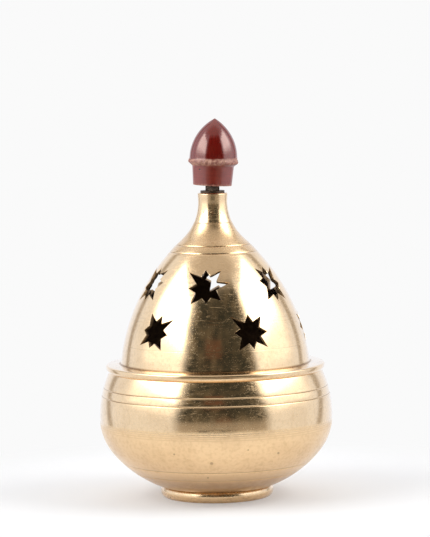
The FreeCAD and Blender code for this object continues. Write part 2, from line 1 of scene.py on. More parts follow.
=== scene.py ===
# %% [markdown]
# # A brass censer for a table top
#
# The object is about 150 mm tall. It is a turned brass bowl on a foot ring, a
# loose charcoal cup inside it, a brass lid with two rows of hand-cut stars,
# and a red lacquered wooden knob on a threaded stud above a narrow neck.
# The packed model gives each piece its place. This notebook gives each visible
# piece its finished surface, its material and the light to see it in.

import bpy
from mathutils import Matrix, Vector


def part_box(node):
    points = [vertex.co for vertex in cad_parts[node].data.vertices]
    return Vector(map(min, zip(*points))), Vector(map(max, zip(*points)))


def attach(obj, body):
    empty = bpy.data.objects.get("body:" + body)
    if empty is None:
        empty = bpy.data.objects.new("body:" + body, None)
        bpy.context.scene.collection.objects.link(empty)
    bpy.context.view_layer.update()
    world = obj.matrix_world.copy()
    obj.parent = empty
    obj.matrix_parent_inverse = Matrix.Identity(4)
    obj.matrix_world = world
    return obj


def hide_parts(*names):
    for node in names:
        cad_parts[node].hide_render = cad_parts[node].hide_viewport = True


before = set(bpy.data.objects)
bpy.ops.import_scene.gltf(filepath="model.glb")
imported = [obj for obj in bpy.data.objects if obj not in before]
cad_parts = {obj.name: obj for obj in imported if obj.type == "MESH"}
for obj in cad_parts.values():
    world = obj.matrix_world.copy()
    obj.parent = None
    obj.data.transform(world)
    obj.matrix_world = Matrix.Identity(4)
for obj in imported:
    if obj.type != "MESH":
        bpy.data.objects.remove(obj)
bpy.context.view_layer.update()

# %% What the rest needs
import math

import bmesh
import bpy
import numpy as np
from mathutils import Euler, Quaternion, Vector
from mathutils.geometry import delaunay_2d_cdt

MM = 0.001
chance = np.random.default_rng(7)

# %% [markdown]
# ## Where the camera stands
#
# A long lens from a little over a metre keeps the sides nearly parallel, as in
# a catalogue picture. It could aim with a constraint, but a fixed place and
# three angles are easier to read back. The camera looks slightly down, and a
# hand-held tilt of under a degree is kept.

# %% Camera
CAMERA_PLACE = Vector((0.5, -1100.0, 181.9))
LOOK_DOWN, TILT = 4.78, -0.93
LENS, SENSOR, NEAREST = 188.0, 36.0, 10.0

camera = bpy.data.objects.new("camera", bpy.data.cameras.new("camera"))
bpy.context.scene.collection.objects.link(camera)
camera.data.lens, camera.data.sensor_width = LENS, SENSOR
camera.data.clip_start = NEAREST * MM
camera.location = CAMERA_PLACE * MM
upright = Euler((math.radians(90.0 - LOOK_DOWN), 0.0, 0.0)).to_quaternion()
camera.rotation_mode = "QUATERNION"
camera.rotation_quaternion = upright @ Quaternion((0.0, 0.0, 1.0), math.radians(TILT))
bpy.context.scene.camera = camera
bpy.context.scene.view_settings.view_transform = "Standard"
print("camera at", [round(part, 4) for part in camera.location])

# %% [markdown]
# ## Small helpers for shader nodes
#
# A finish is a tree of nodes. Clicking one together is easy, but a script that
# names every node and link soon drowns in them. These two classes keep it
# short. A Maker adds one node at a time and fills its inputs from plain values
# or from other nodes. What it hands back can be added and multiplied like a
# number, so that the finishes below read like small sums.

# %% What a node puts out
class Output:
    """What a node puts out. + - * and | (the larger of two) each add one more node."""

    def __init__(self, maker, node, name=0):
        self.maker, self.node, self.name = maker, node, name

    def beside(self, name):
        """Another output of the same node."""
        return Output(self.maker, self.node, name)

    def __add__(self, other):
        return self.maker.maths("ADD", self, other)

    def __sub__(self, other):
        return self.maker.maths("SUBTRACT", self, other)

    def __rsub__(self, other):
        return self.maker.maths("SUBTRACT", other, self)

    def __mul__(self, other):
        return self.maker.maths("MULTIPLY", self, other)

    def __or__(self, other):
        return self.maker.maths("MAXIMUM", self, other)

    __radd__, __rmul__, __ror__ = __add__, __mul__, __or__


# %% Adding nodes
class Maker:
    """Adds nodes to one tree."""

    def __init__(self, tree):
        self.tree = tree

    def add(self, kind, inputs=None, output=0, **options):
        """Add a shader node, set its options, and fill or link its inputs."""
        node = self.tree.nodes.new(f"ShaderNode{kind}")
        for option, value in options.items():
            setattr(node, option, value)
        for name, value in (inputs or {}).items():
            if isinstance(value, Output):
                self.tree.links.new(value.node.outputs[value.name], node.inputs[name])
            else:
                node.inputs[name].default_value = value
        return Output(self, node, output)

    def maths(self, operation, *values):
        """One step of arithmetic."""
        return self.add("Math", dict(enumerate(values)), operation=operation)

    def ease(self, value, start, end):
        """0 at start, 1 at end, with a soft curve between; start may be the larger."""
        inputs = {"Value": value, "From Min": start, "From Max": end}
        return self.add("MapRange", inputs, interpolation_type="SMOOTHSTEP")

    def mixed(self, share, first, second):
        """Two colours mixed by a share."""
        return self.add("Mix", {0: share, 6: first, 7: second}, 2, data_type="RGBA")

    def between(self, share, first, second):
        """Two numbers mixed by a share."""
        return self.add("Mix", {0: share, 2: first, 3: second}, data_type="FLOAT")

    def noise(self, place, scale, detail, roughness=0.5, **options):
        """Soft random values between 0 and 1, scale of them to the metre."""
        inputs = {"Vector": place, "Scale": scale, "Detail": detail, "Roughness": roughness}
        return self.add("TexNoise", inputs, **options)

    def place(self):
        """Where a point of the piece is, in metres."""
        return self.add("TexCoord", output="Object")

    def parts(self, place):
        """The X, Y and Z of a place."""
        whole = self.add("SeparateXYZ", {0: place})
        return [whole.beside(axis) for axis in "XYZ"]

    def stored(self, name):
        """A value stored on the piece's points."""
        return self.add("Attribute", output="Fac", attribute_name=name)

    def skin(self, relief, inputs):
        """The surface: a Principled shader with these inputs, and a relief in millimetres as its bump."""
        bump = self.add("Bump", {"Height": relief, "Strength": 1.0, "Distance": MM})
        self.add("OutputMaterial", {0: self.add("BsdfPrincipled", {**inputs, "Normal": bump})})


def new_material(name):
    """A material with no nodes yet, and the maker that fills it."""
    material = bpy.data.materials.new(name)
    material.use_nodes = True
    material.node_tree.nodes.clear()
    return material, Maker(material.node_tree)


print("a maker can", [name for name in vars(Maker) if name[0] != "_"])

# %% [markdown]
# ## The studio
#
# Polished brass shows the room more than itself, so the room is half of the
# finish. It is a white paper backdrop, two tall diffusing panels beside the
# object, a dim ceiling, and behind the camera the dark end of the room, with
# a reddish crate in it and a table and a dark stand low in front. The far
# room is a sky of directions, which costs nothing to render. The panels
# are real planes, because they stand so near that the knob and the bowl see
# them at different heights. The camera itself sees plain pale paper.

# %% The room's colours and the angles between them
# a pair of angles in degrees is where a colour starts to give way and where the next has taken over
PAPER = (0.956, 0.956, 0.956, 1.0)
DARK_END, LIT_END = (0.036, 0.040, 0.036, 1.0), (0.175, 0.152, 0.114, 1.0)
CRATE = (0.150, 0.085, 0.060, 1.0)
GAP = (0.46, 0.43, 0.40, 1.0)
SIDE_WALL = (0.95, 1.01, 1.12, 1.0)
BACKDROP = (0.97, 1.00, 1.06, 1.0)
CEILING = (0.60, 0.57, 0.55, 1.0)
SIDE_CEILING = (0.98, 0.97, 0.98, 1.0)
RIGHT_EDGE, LEFT_EDGE = (43.0, 53.0), (29.0, 42.0)
LOW_WIDENING, WIDE_ELEVATIONS = 4.5, (20.0, 3.0)
LOW_GAP, GAP_ELEVATIONS = 8.0, (6.0, -10.0)
TABLE, TABLE_EDGE = (0.42, 0.39, 0.35, 1.0), (2.0, -2.5)
STAND_SIDES, STAND_TOP = (22.0, 14.0), (-7.5, -10.0)
GAP_OFFSET, GAP_EDGE, BACK_EDGE = 3.0, (126.0, 131.0), (136.0, 142.0)
CEILING_EDGE, CEILING_SIDES = (52.0, 64.0), (60.0, 112.0)
CRATES = ((-12.0, 8.0, 15.0, 25.0), (0.0, 15.0, -9.0, 4.0))    # west, east, bottom, top
CLUTTER_SCALE, CLUTTER_RANGE = 7.0, (0.42, 0.70)
CRATE_SOFTNESS = (2.0, 1.5)
print("dark from", -LEFT_EDGE[0], "to", RIGHT_EDGE[0], "degrees, backdrop past", BACK_EDGE[1])


# %% The room as directions
def build_room():
    """Colours by direction: azimuth from the camera's side towards the right, and elevation."""
    world = bpy.data.worlds.new("studio")
    bpy.context.scene.world = world
    world.use_nodes = True
    world.node_tree.nodes.clear()
    make = Maker(world.node_tree)
    way = make.add("TexCoord", output="Generated")
    x, y, z = make.parts(way)
    azimuth = make.maths("DEGREES", make.maths("ARCTAN2", x, y * -1.0))
    elevation = make.maths("DEGREES", make.maths("ARCSINE", z))
    colour = make.mixed(make.ease(make.noise(way, CLUTTER_SCALE, 3.0), *CLUTTER_RANGE), DARK_END, LIT_END)
    for west, east, bottom, top in CRATES:
        inside = 1.0
        for angle, low, high, soft in ((azimuth, west, east, CRATE_SOFTNESS[0]),
                                       (elevation, bottom, top, CRATE_SOFTNESS[1])):
            inside = inside * make.ease(angle, low - soft, low + soft) * make.ease(angle, high + soft, high - soft)
        colour = make.mixed(inside, colour, CRATE)
    colour = make.mixed(make.ease(elevation, *TABLE_EDGE), colour, TABLE)
    stand = make.ease(elevation, *STAND_TOP) * make.ease(make.maths("ABSOLUTE", azimuth), *STAND_SIDES)
    colour = make.mixed(stand, colour, DARK_END)
    low = make.ease(elevation, *WIDE_ELEVATIONS) * LOW_WIDENING
    sides = make.ease(azimuth - low, *RIGHT_EDGE) | make.ease(azimuth * -1.0 - low, *LEFT_EDGE)
    colour = make.mixed(sides, colour, SIDE_WALL)
    aside = make.maths("ABSOLUTE", azimuth + GAP_OFFSET) + make.ease(elevation, *GAP_ELEVATIONS) * LOW_GAP
    colour = make.mixed(make.ease(aside, *GAP_EDGE), colour, GAP)
    colour = make.mixed(make.ease(aside, *BACK_EDGE), colour, BACKDROP)
    above = make.mixed(make.ease(aside, *CEILING_SIDES), CEILING, SIDE_CEILING)
    colour = make.mixed(make.ease(elevation, *CEILING_EDGE), colour, above)
    seen = make.add("LightPath", output="Is Camera Ray")
    make.add("OutputWorld", {0: make.add("Background", {"Color": make.mixed(seen, colour, PAPER)})})


build_room()
print("room set, paper at", PAPER[0])

# %% The two diffusing panels
PANEL_DISTANCE = 420.0
PANEL_HEIGHTS = (70.0, 690.0)
LEFT_PANEL, RIGHT_PANEL = (-560.0, 110.0), (-410.0, 200.0)
LEFT_FADE, RIGHT_FADE = 0.20, 0.30
PANEL_GLOW = 4.4
FOOT_FADE, BRIGHT_FROM, DIM_SHARE = 0.08, (0.16, 0.45), 0.13
PANEL_COLOUR = (1.0, 0.985, 0.965, 1.0)


def panel_material(name, fade):
    """Light added to what is behind it. It fades towards the panel's edges, and the lamps behind the
    cloth stand high, so the lowest part is dim."""
    material, make = new_material(name)
    along, up, _ = make.parts(make.add("TexCoord", output="UV"))
    strength = make.between(make.ease(up, *BRIGHT_FROM), PANEL_GLOW * DIM_SHARE, PANEL_GLOW)
    for inward, share in ((along, fade), (1.0 - along, fade), (up, FOOT_FADE), (1.0 - up, FOOT_FADE)):
        strength = strength * make.ease(inward, 0.0, share)
    light = make.add("Emission", {"Color": PANEL_COLOUR, "Strength": strength})
    make.add("OutputMaterial", {0: make.add("AddShader", {0: light, 1: make.add("BsdfTransparent")})})
    return material


def stand_panel(name, across, reach, material):
    """An upright rectangle at x = across, from reach[0] to reach[1] along Y."""
    (near, far), (low, high) = reach, PANEL_HEIGHTS
    corners = [(across, near, low), (across, far, low), (across, far, high), (across, near, high)]
    mesh = bpy.data.meshes.new(name)
    mesh.from_pydata([Vector(corner) * MM for corner in corners], [], [(0, 1, 2, 3)])
    mesh.uv_layers.new().data.foreach_set("uv", (0, 0, 1, 0, 1, 1, 0, 1))
    mesh.materials.append(material)
    panel = bpy.data.objects.new(name, mesh)
    bpy.context.scene.collection.objects.link(panel)
    panel.visible_camera = False
    panel.visible_shadow = False


stand_panel("left_panel", -PANEL_DISTANCE, LEFT_PANEL, panel_material("left_glow", LEFT_FADE))
stand_panel("right_panel", PANEL_DISTANCE, RIGHT_PANEL, panel_material("right_glow", RIGHT_FADE))
print("panels stand", PANEL_DISTANCE, "mm to each side")

# %% The paper that the object stands on
FLOOR_RADIUS = 190.0
FLOOR_FADE = (80.0, 150.0)
FLOOR_GLOW = 0.22
FLOOR_ALBEDO = (0.64, 0.64, 0.64, 1.0)


def lay_floor():
    """A round sheet whose paper shows shadows near the object and meets the backdrop's tone further out."""
    material, make = new_material("pale_paper")
    distance = make.add("VectorMath", {0: make.place()}, "Value", operation="LENGTH")
    matt = make.add("BsdfDiffuse", {"Color": FLOOR_ALBEDO})
    glow = make.add("Emission", {"Color": (1.0, 1.0, 1.0, 1.0), "Strength": FLOOR_GLOW})
    paper = make.add("AddShader", {0: matt, 1: glow})
    far = make.add("Emission", {"Color": PAPER})
    share = make.ease(distance, *(part * MM for part in FLOOR_FADE))
    make.add("OutputMaterial", {0: make.add("MixShader", {0: share, 1: paper, 2: far})})
    bpy.ops.mesh.primitive_circle_add(vertices=128, radius=FLOOR_RADIUS * MM, fill_type="NGON")
    floor = bpy.context.object
    floor.name = "floor"
    floor.data.materials.append(material)


lay_floor()
print("floor radius", FLOOR_RADIUS, "mm")

# %% [markdown]
# ## Turning a profile
#
# Everything here but the stars came off a lathe, so a piece is a profile of
# (radius, height) carried round the upright axis. A Screw or Spin would do it
# too, but as arrays the same few lines also give each point the values that
# the finishes need: how sharp the edge is there, and how much soot it carries.
# A turned profile has no truly sharp corner. Polishing eases each one by a
# tenth of a millimetre or so, and those eased corners are what catch light.
# Here the profile is walked in tiny steps and averaged with a bell curve.

# %% Arcs and circles
def arc(centre, start, end, count=96):
    """Points about a centre from start to end the short way: centre + radius (cos a, sin a), a even."""
    centre, start, end = (np.array(place, float) for place in (centre, start, end))
    first, last = (np.arctan2(*(place - centre)[::-1]) for place in (start, end))
    last = first + (last - first + np.pi) % (2 * np.pi) - np.pi
    angle = np.linspace(first, last, count)[:, None]
    return centre + np.linalg.norm(start - centre) * np.hstack((np.cos(angle), np.sin(angle)))


def meeting(first, first_radius, second, second_radius):
    """Where two circles cross, on the left of the way from the first centre to the second."""
    first, second = np.array(first, float), np.array(second, float)
    span = np.linalg.norm(second - first)
    along = (first_radius**2 - second_radius**2 + span**2) / (2 * span)
    aside = math.sqrt(first_radius**2 - along**2)
    step = (second - first) / span
    return first + along * step + aside * np.array((-step[1], step[0]))


def stretch(places, soot=0.0):
    """A run of profile places as rows of radius, height and soot."""
    places = np.array(places, float)
    return np.column_stack((places, np.full(len(places), soot)))


print("a quarter circle ends at", arc((0.0, 0.0), (1.0, 0.0), (0.0, 1.0))[-1].round(6))

# %% Easing the corners
WALK = 0.03
LONGEST, SHARPEST = 1.6, 12.0
LINE_RADIUS = 0.2
EDGE_SPREAD = 0.2
EDGE_GAIN = 0.35


def bell(width):
    """A bell curve of that many millimetres over the walk's steps, adding up to 1."""
    reach = np.arange(-int(4 * width / WALK), int(4 * width / WALK) + 1) * WALK
    weights = np.exp(-0.5 * (reach / width) ** 2)
    return weights / weights.sum()


def averaged(path, width, looped):
    """The path averaged with a bell curve. Past an end on the axis the path goes on as its own
    mirror image; past any other end it goes on turned half round that end, so the end stays put."""
    weights = bell(width)
    pad = len(weights) // 2
    if looped:
        before, after = path[-pad - 1 : -1], path[1 : pad + 1]
    else:
        before, after = path[pad:0:-1].copy(), path[-2 : -pad - 2 : -1].copy()
        for beyond, end in ((before, path[0]), (after, path[-1])):
            if abs(end[0]) < WALK:
                beyond[:, 0] *= -1
            else:
                beyond[:, :2] = 2 * end[:2] - beyond[:, :2]
    whole = np.vstack((before, path, after))
    return np.column_stack([np.convolve(column, weights, "valid") for column in whole.T])


def polished(profile, ease_by=0.12, lines=(), looped=False):
    """A profile with eased corners and fine turned lines, as rows of radius, height, soot and edge.

    The solid lies on the left of the way along it. A line is a groove as deep as
    sqrt(line radius squared - distance squared). Edge is the bend per millimetre, above 0 where
    the metal stands out. Places are kept so that none is far from the next in length or in turn.
    """
    steps = np.linalg.norm(np.diff(profile[:, :2], axis=0), axis=1)
    profile = profile[np.r_[True, steps > 1e-6]]
    length = np.r_[0.0, np.cumsum(steps[steps > 1e-6])]
    along = np.linspace(0.0, length[-1], int(length[-1] / WALK))
    path = np.column_stack([np.interp(along, length, column) for column in profile.T])
    ahead = np.gradient(path[:, :2], axis=0)
    ahead /= np.linalg.norm(ahead, axis=1)[:, None]
    inward = np.column_stack((-ahead[:, 1], ahead[:, 0]))
    for height in lines:
        outer = np.where(np.abs(path[:, 1] - height) < 2 * WALK, path[:, 0], 0.0)
        gap = along - along[outer.argmax()]
        depth = np.sqrt(np.clip(LINE_RADIUS**2 - gap**2, 0.0, None))
        path[:, :2] += depth[:, None] * inward
    path = averaged(path, ease_by, looped)
    ahead = np.gradient(path[:, :2], axis=0)
    heading = np.unwrap(np.arctan2(ahead[:, 1], ahead[:, 0]))
    bend = np.gradient(heading) / WALK
    edge = np.convolve(np.pad(bend, len(bell(EDGE_SPREAD)) // 2, "edge"), bell(EDGE_SPREAD), "valid")
    pace = WALK / LONGEST + np.abs(np.gradient(heading)) / math.radians(SHARPEST)
    pace = np.r_[0.0, np.cumsum(pace[1:])]
    wanted = np.linspace(0.0, pace[-1], math.ceil(pace[-1]) + 1)
    rows = np.column_stack((path, np.clip(edge * EDGE_GAIN, -1.0, 1.0)))
    return np.column_stack([np.interp(wanted, pace, column) for column in rows.T])


corner = polished(stretch([(2.0, 0.0), (2.0, 2.0), (0.0, 2.0)]))
print("an eased corner has", len(corner), "places, and its edge value is", corner[:, 3].max())

# %% Carrying a profile round
AROUND = 240
SEAM = 153.0
TURNS = SEAM + np.arange(AROUND) * 360.0 / AROUND


def carried_round(rows):
    """Points (radius sin t, -radius cos t, height) for each turn t and profile row, four-sided faces
    between neighbours, and each point's soot and edge. Turn 0 is the front and 90 is +X."""
    turn = np.radians(TURNS)[None, :]
    radius, height = rows[:, 0, None], rows[:, 1, None]
    points = np.stack((radius * np.sin(turn), -radius * np.cos(turn), height + 0 * turn), axis=-1)
    here = np.arange(len(rows) * AROUND).reshape(len(rows), AROUND)
    right = np.roll(here, -1, axis=1)
    faces = np.stack((here[:-1], right[:-1], right[1:], here[1:]), axis=-1)
    values = np.repeat(rows[:, 2:4], AROUND, axis=0)
    return points.reshape(-1, 3), faces.reshape(-1, 4), values


print("the corner carried round has", len(carried_round(corner)[1]), "faces")

# %% Making the mesh
WELD = 0.002
NOTABLE_ANGLE = 40.0


def make_piece(name, parts):
    """One closed mesh from parts of (points, faces, values). Parts that meet are welded, poles close
    to a point, and faces are turned outwards. Values become the soot and edge attributes."""
    points = np.vstack([part[0] for part in parts])
    values = np.vstack([part[2] for part in parts])
    starts = np.cumsum([0] + [len(part[0]) for part in parts[:-1]])
    faces = [face for part, start in zip(parts, starts) for face in (part[1] + start).tolist()]
    mesh = bpy.data.meshes.new(name)
    mesh.from_pydata((points * MM).tolist(), [], faces)
    for label, column in zip(("soot", "edge"), values.T):
        mesh.attributes.new(label, "FLOAT", "POINT").data.foreach_set("value", column.astype(np.float32))
    work = bmesh.new()
    work.from_mesh(mesh)
    bmesh.ops.remove_doubles(work, verts=work.verts, dist=WELD * MM)
    bmesh.ops.recalc_face_normals(work, faces=work.faces)
    open_edges = sum(not edge.is_manifold for edge in work.edges)
    work.to_mesh(mesh)
    work.free()
    mesh.shade_smooth()
    mesh.set_sharp_from_angle(angle=math.radians(NOTABLE_ANGLE))
    piece = bpy.data.objects.new(name, mesh)
    bpy.context.scene.collection.objects.link(piece)
    triangles = sum(len(face.vertices) - 2 for face in mesh.polygons)
    print(f"{name}: {len(mesh.vertices)} points, {triangles} triangles, {open_edges} open edges")
    return piece


# %% [markdown]
# ## The bowl and its foot
#
# The bowl is cast, turned and polished above the belly, and left satin below
# it. Its outside is three arcs that run into one another: a long base curve,
# a tighter belly, and a shoulder up to the rim. Two pairs of fine lines are
# cut with a round tool. Inside, the same arcs run one wall further in.

# %% Bowl profile
BOWL_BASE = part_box("bowl")[0].z / MM
RIM_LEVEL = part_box("bowl")[1].z / MM
BELLY_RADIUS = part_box("bowl")[1].x / MM
BELLY_RISE, BELLY_ARC, BELLY_TURN = 27.8, 22.5, 40.0
FOOT_JOIN = 21.6
RIM_INSET, RIM_WIDTH = 3.9, 1.5
BOWL_WALL, BOWL_FLOOR = 1.8, 2.0
BOWL_LINES = (6.2, 10.0, 36.6, 39.8)


def bowl_profile():
    """From the axis out under the base, up the outside, over the rim and down the inside."""
    belly_level = BOWL_BASE + BELLY_RISE
    widest, rim = np.array((BELLY_RADIUS, belly_level)), np.array((BELLY_RADIUS - RIM_INSET, RIM_LEVEL))
    mouth = rim[0] - RIM_WIDTH
    base, belly = np.array((FOOT_JOIN, BOWL_BASE)), np.array((BELLY_RADIUS - BELLY_ARC, belly_level))
    lean = np.array((math.cos(math.radians(BELLY_TURN)), -math.sin(math.radians(BELLY_TURN))))
    joint = belly + BELLY_ARC * lean
    chord = base - joint
    base_radius = (chord @ chord) / (-2 * chord @ lean)
    base_centre = joint - base_radius * lean
    shoulder_radius = (RIM_INSET**2 + (rim[1] - belly_level) ** 2) / (2 * RIM_INSET)
    shoulder = np.array((BELLY_RADIUS - shoulder_radius, belly_level))
    floor = BOWL_BASE + BOWL_FLOOR
    floor_reach = math.sqrt((base_radius - BOWL_WALL) ** 2 - (base_centre[1] - floor) ** 2)
    mouth_rise = math.sqrt((shoulder_radius - BOWL_WALL) ** 2 - (mouth - shoulder[0]) ** 2)
    inner_widest = widest - (BOWL_WALL, 0.0)
    inner_joint = joint - BOWL_WALL * lean
    inner_mouth = np.array((mouth, belly_level + mouth_rise))
    outside = np.vstack(([(0.0, BOWL_BASE)], arc(base_centre, base, joint), arc(belly, joint, widest),
                         arc(shoulder, widest, rim), [(mouth, RIM_LEVEL)]))
    inside = np.vstack((arc(shoulder, inner_mouth, inner_widest), arc(belly, inner_widest, inner_joint),
                        arc(base_centre, inner_joint, (base_centre[0] + floor_reach, floor)), [(0.0, floor)]))
    return np.vstack((stretch(outside), stretch(inside, soot=1.0)))


bowl_lines = [BOWL_BASE + rise for rise in BOWL_LINES]
bowl = make_piece("brass_bowl", [carried_round(polished(bowl_profile(), 0.09, bowl_lines))])

# %% Foot ring
FOOT_BORE, FOOT_TAPER, FOOT_BEAD = 17.6, 0.5, 3.0


def foot_profile():
    """A ring with a rounded outer face, slightly smaller where it meets the table."""
    low, high = (FOOT_JOIN - FOOT_TAPER, 0.0), (FOOT_JOIN, BOWL_BASE)
    bead = arc(meeting(low, FOOT_BEAD, high, FOOT_BEAD), low, high)
    return stretch(np.vstack(([(FOOT_BORE, 0.0)], bead, [(FOOT_BORE, BOWL_BASE), (FOOT_BORE, 0.0)])))


foot = make_piece("brass_foot_ring", [carried_round(polished(foot_profile(), 0.16, looped=True))])

# %% [markdown]
# ## The charcoal cup
#
# A thin spun cup sits loose on the bowl's floor and keeps the embers off the
# brass. Only its rim and inside would be seen with the lid off, and it is
# black with soot almost all over.

# %% Charcoal cup
CUP_BASE, CUP_LIP, CUP_WALL, CUP_ARC = 15.0, 2.0, 1.0, 28.0
CUP_INNER_SHARE = 0.8


def cup_profile():
    """Flat base, flared flank, turned-out lip, and back down the inside one sheet thickness in."""
    low, high = (corner.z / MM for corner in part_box("charcoal_cup"))
    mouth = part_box("charcoal_cup")[1].x / MM - CUP_LIP
    base, under_lip = (CUP_BASE, low), (mouth, high - CUP_WALL)
    inner_base, inner_mouth = (CUP_BASE - CUP_INNER_SHARE * CUP_WALL, low + CUP_WALL), (mouth - CUP_WALL, high)
    outer = arc(meeting(base, CUP_ARC, under_lip, CUP_ARC), base, under_lip)
    inner_arc = CUP_ARC - CUP_WALL
    inner = arc(meeting(inner_base, inner_arc, inner_mouth, inner_arc), inner_mouth, inner_base)
    lip = [(mouth + CUP_LIP, high - CUP_WALL), (mouth + CUP_LIP, high)]
    outside = stretch(np.vstack(([(0.0, low)], outer, lip)), soot=0.7)
    return np.vstack((outside, stretch(np.vstack((inner, [(0.0, low + CUP_WALL)])), soot=1.0)))


cup = make_piece("soot_black_cup", [carried_round(polished(cup_profile(), 0.10))])

# %% [markdown]
# ## The lid, its flange and its crown
#
# The lid is one turning: a collar that drops into the bowl, a stepped flange,
# a long swelling dome, and a hollow sweep up to the neck. The star band in the
# middle is left out here and made as a pierced sheet further on, so the
# profile is two strips that end exactly on the band's lower and upper edges.
# Heights are counted from the bowl's rim. Places on the dome are
# centre + arc radius (cos s, sin s), where s is called the swing.

# %% Lid sizes
FLANGE_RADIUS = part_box("lid_dome")[1].x / MM
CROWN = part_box("lid_dome")[1].z / MM - RIM_LEVEL
DOME_ARC, DOME_WALL = 77.0, 1.6
DOME_FOOT = np.array((FLANGE_RADIUS - 5.8, 3.05))
NECK_SWEEP, THROAT, THROAT_RISE = 20.0, 5.75, 8.2
SOCKET, SOCKET_DEPTH = 4.5, 4.0
LID_PLAY, COLLAR_WALL, COLLAR_DEPTH = 0.35, 1.8, 3.5
FLANGE_OVERHANG = 1.1
FLANGE_EDGE = ((0.9, 0.0), (0.0, 1.1), (0.0, 2.3), (0.45, 2.72))
DOME_LINES = (47.0, 49.7)
BAND_LOW, BAND_HIGH = 5.5, 45.0

sweep_centre = np.array((THROAT + NECK_SWEEP, CROWN + THROAT_RISE))
dome_centre = meeting(DOME_FOOT, DOME_ARC, sweep_centre, DOME_ARC + NECK_SWEEP)
band_swings = [math.asin((height - dome_centre[1]) / DOME_ARC) for height in (BAND_LOW, BAND_HIGH)]
print("dome centre", dome_centre.round(2), "band from", [round(math.degrees(s), 1) for s in band_swings])


def dome_place(swing, depth=0.0):
    """The profile place at a swing, that far under the outer face."""
    return dome_centre + (DOME_ARC - depth) * np.array((math.cos(swing), math.sin(swing)))


# %% Lid strips
def towards(centre, place, radius):
    """The place at a radius from a centre, in the direction of another."""
    return centre + radius * (place - centre) / np.linalg.norm(place - centre)


def lid_strips():
    """The flange strip, from the band's lower inner edge round to its lower outer edge, and the
    crown strip, from its upper outer edge round to its upper inner edge."""
    collar = FLANGE_RADIUS - FLANGE_OVERHANG - RIM_WIDTH - LID_PLAY
    inner_foot = (dome_centre[0] + math.sqrt((DOME_ARC - DOME_WALL) ** 2 - dome_centre[1] ** 2), 0.0)
    hem = [(collar - COLLAR_WALL, 0.0), (collar - COLLAR_WALL, -COLLAR_DEPTH), (collar, -COLLAR_DEPTH),
           (collar, 0.0)] + [(FLANGE_RADIUS - inset, height) for inset, height in FLANGE_EDGE]
    low_inner, low_outer = dome_place(band_swings[0], DOME_WALL), dome_place(band_swings[0])
    flange = np.vstack((stretch(arc(dome_centre, low_inner, inner_foot), soot=1.0),
                        stretch(hem[:2], soot=0.6), stretch(hem[2:]),
                        stretch(arc(dome_centre, DOME_FOOT, low_outer))))
    blend, inner_blend = (towards(sweep_centre, dome_centre, NECK_SWEEP + depth) for depth in (0.0, DOME_WALL))
    socket_floor = CROWN - SOCKET_DEPTH
    crown_edge, socket_edge = (
        (sweep_centre[0] - math.sqrt(radius**2 - (sweep_centre[1] - height) ** 2), height)
        for radius, height in ((NECK_SWEEP, CROWN), (NECK_SWEEP + DOME_WALL, socket_floor)))
    high_outer, high_inner = dome_place(band_swings[1]), dome_place(band_swings[1], DOME_WALL)
    crown = np.vstack((stretch(arc(dome_centre, high_outer, blend)),
                       stretch(arc(sweep_centre, blend, crown_edge)), stretch([(SOCKET, CROWN)]),
                       stretch([(SOCKET, socket_floor)], soot=1.0),
                       stretch(arc(sweep_centre, socket_edge, inner_blend), soot=1.0),
                       stretch(arc(dome_centre, inner_blend, high_inner), soot=1.0)))
    return polished(flange, 0.16), polished(crown, 0.12, DOME_LINES)


strips = []
for strip in lid_strips():
    strip[:, 1] += RIM_LEVEL
    strips.append(carried_round(strip))
print("lid strips have", [len(strip[0]) for strip in strips], "points")

# %% [markdown]
# ## The stars
#
# Each star was marked by eye, drilled and sawn by hand, so no two points are
# alike. A Boolean with twelve star-shaped cutters would leave long thin faces
# that spoil the polish. Instead the band is one flat sheet of evenly spaced
# points, joined into triangles so that the star outlines are kept, and then
# bent onto the dome. The triangles inside the outlines are left out, and a
# narrow eased edge and a wall join the outer sheet to the inner one.

# %% Star places
# turn about the axis and tilt in degrees, as the frame has them
LOWER_STARS = ((317.5, -12.0), (24.0, -2.0), (88.0, 5.0), (134.0, -6.0), (196.0, 8.0), (258.0, 0.0))
UPPER_STARS = ((293.0, 6.0), (353.5, 3.0), (58.0, -5.0), (114.5, 4.0), (174.5, -8.0), (243.0, 2.0))
LOWER_LEVEL, UPPER_LEVEL = 17.7, 35.0
LONG_POINT, SHORT_POINT, NOTCH = 8.2, 6.4, 4.3
POINT_SPREAD, ANGLE_SPREAD, NOTCH_SPREAD = 0.07, 3.5, 0.05
# the three stars at the front, point by point: (length, angle) anticlockwise from the lower left
CENTRE_STAR = ((8.7, -133.0), (6.0, -88.0), (8.2, -39.0), (8.7, 9.0), (7.9, 49.0), (6.2, 95.5), (8.6, 143.0),
               (6.9, 184.0))
LEFT_STAR = ((8.9, -144.0), (6.1, -104.5), (7.9, -56.0), (6.2, -7.0), (9.2, 33.0), (6.7, 72.0), (7.7, 118.0),
             (6.2, 174.5))
RIGHT_STAR = ((8.6, -131.0), (6.4, -84.0), (8.7, -41.5), (7.0, 0.0), (7.8, 48.0), (6.7, 92.0), (9.3, 140.0),
              (6.7, 179.0))
FRONT_STARS = {353.5: CENTRE_STAR, 317.5: LEFT_STAR, 24.0: RIGHT_STAR}
CUTS_PER_EDGE = 6
SAW_WANDER = 0.05


def star_corners(turn, tilt):
    """The star's eight points as (length, angle), the known ones or long and short in turn."""
    if turn in FRONT_STARS:
        return np.array(FRONT_STARS[turn])
    angles = tilt - 135.0 + 45.0 * np.arange(8) + chance.normal(0.0, ANGLE_SPREAD, 8)
    lengths = np.where(np.arange(8) % 2 == 0, LONG_POINT, SHORT_POINT)
    return np.column_stack((lengths * (1.0 + chance.normal(0.0, POINT_SPREAD, 8)), angles))


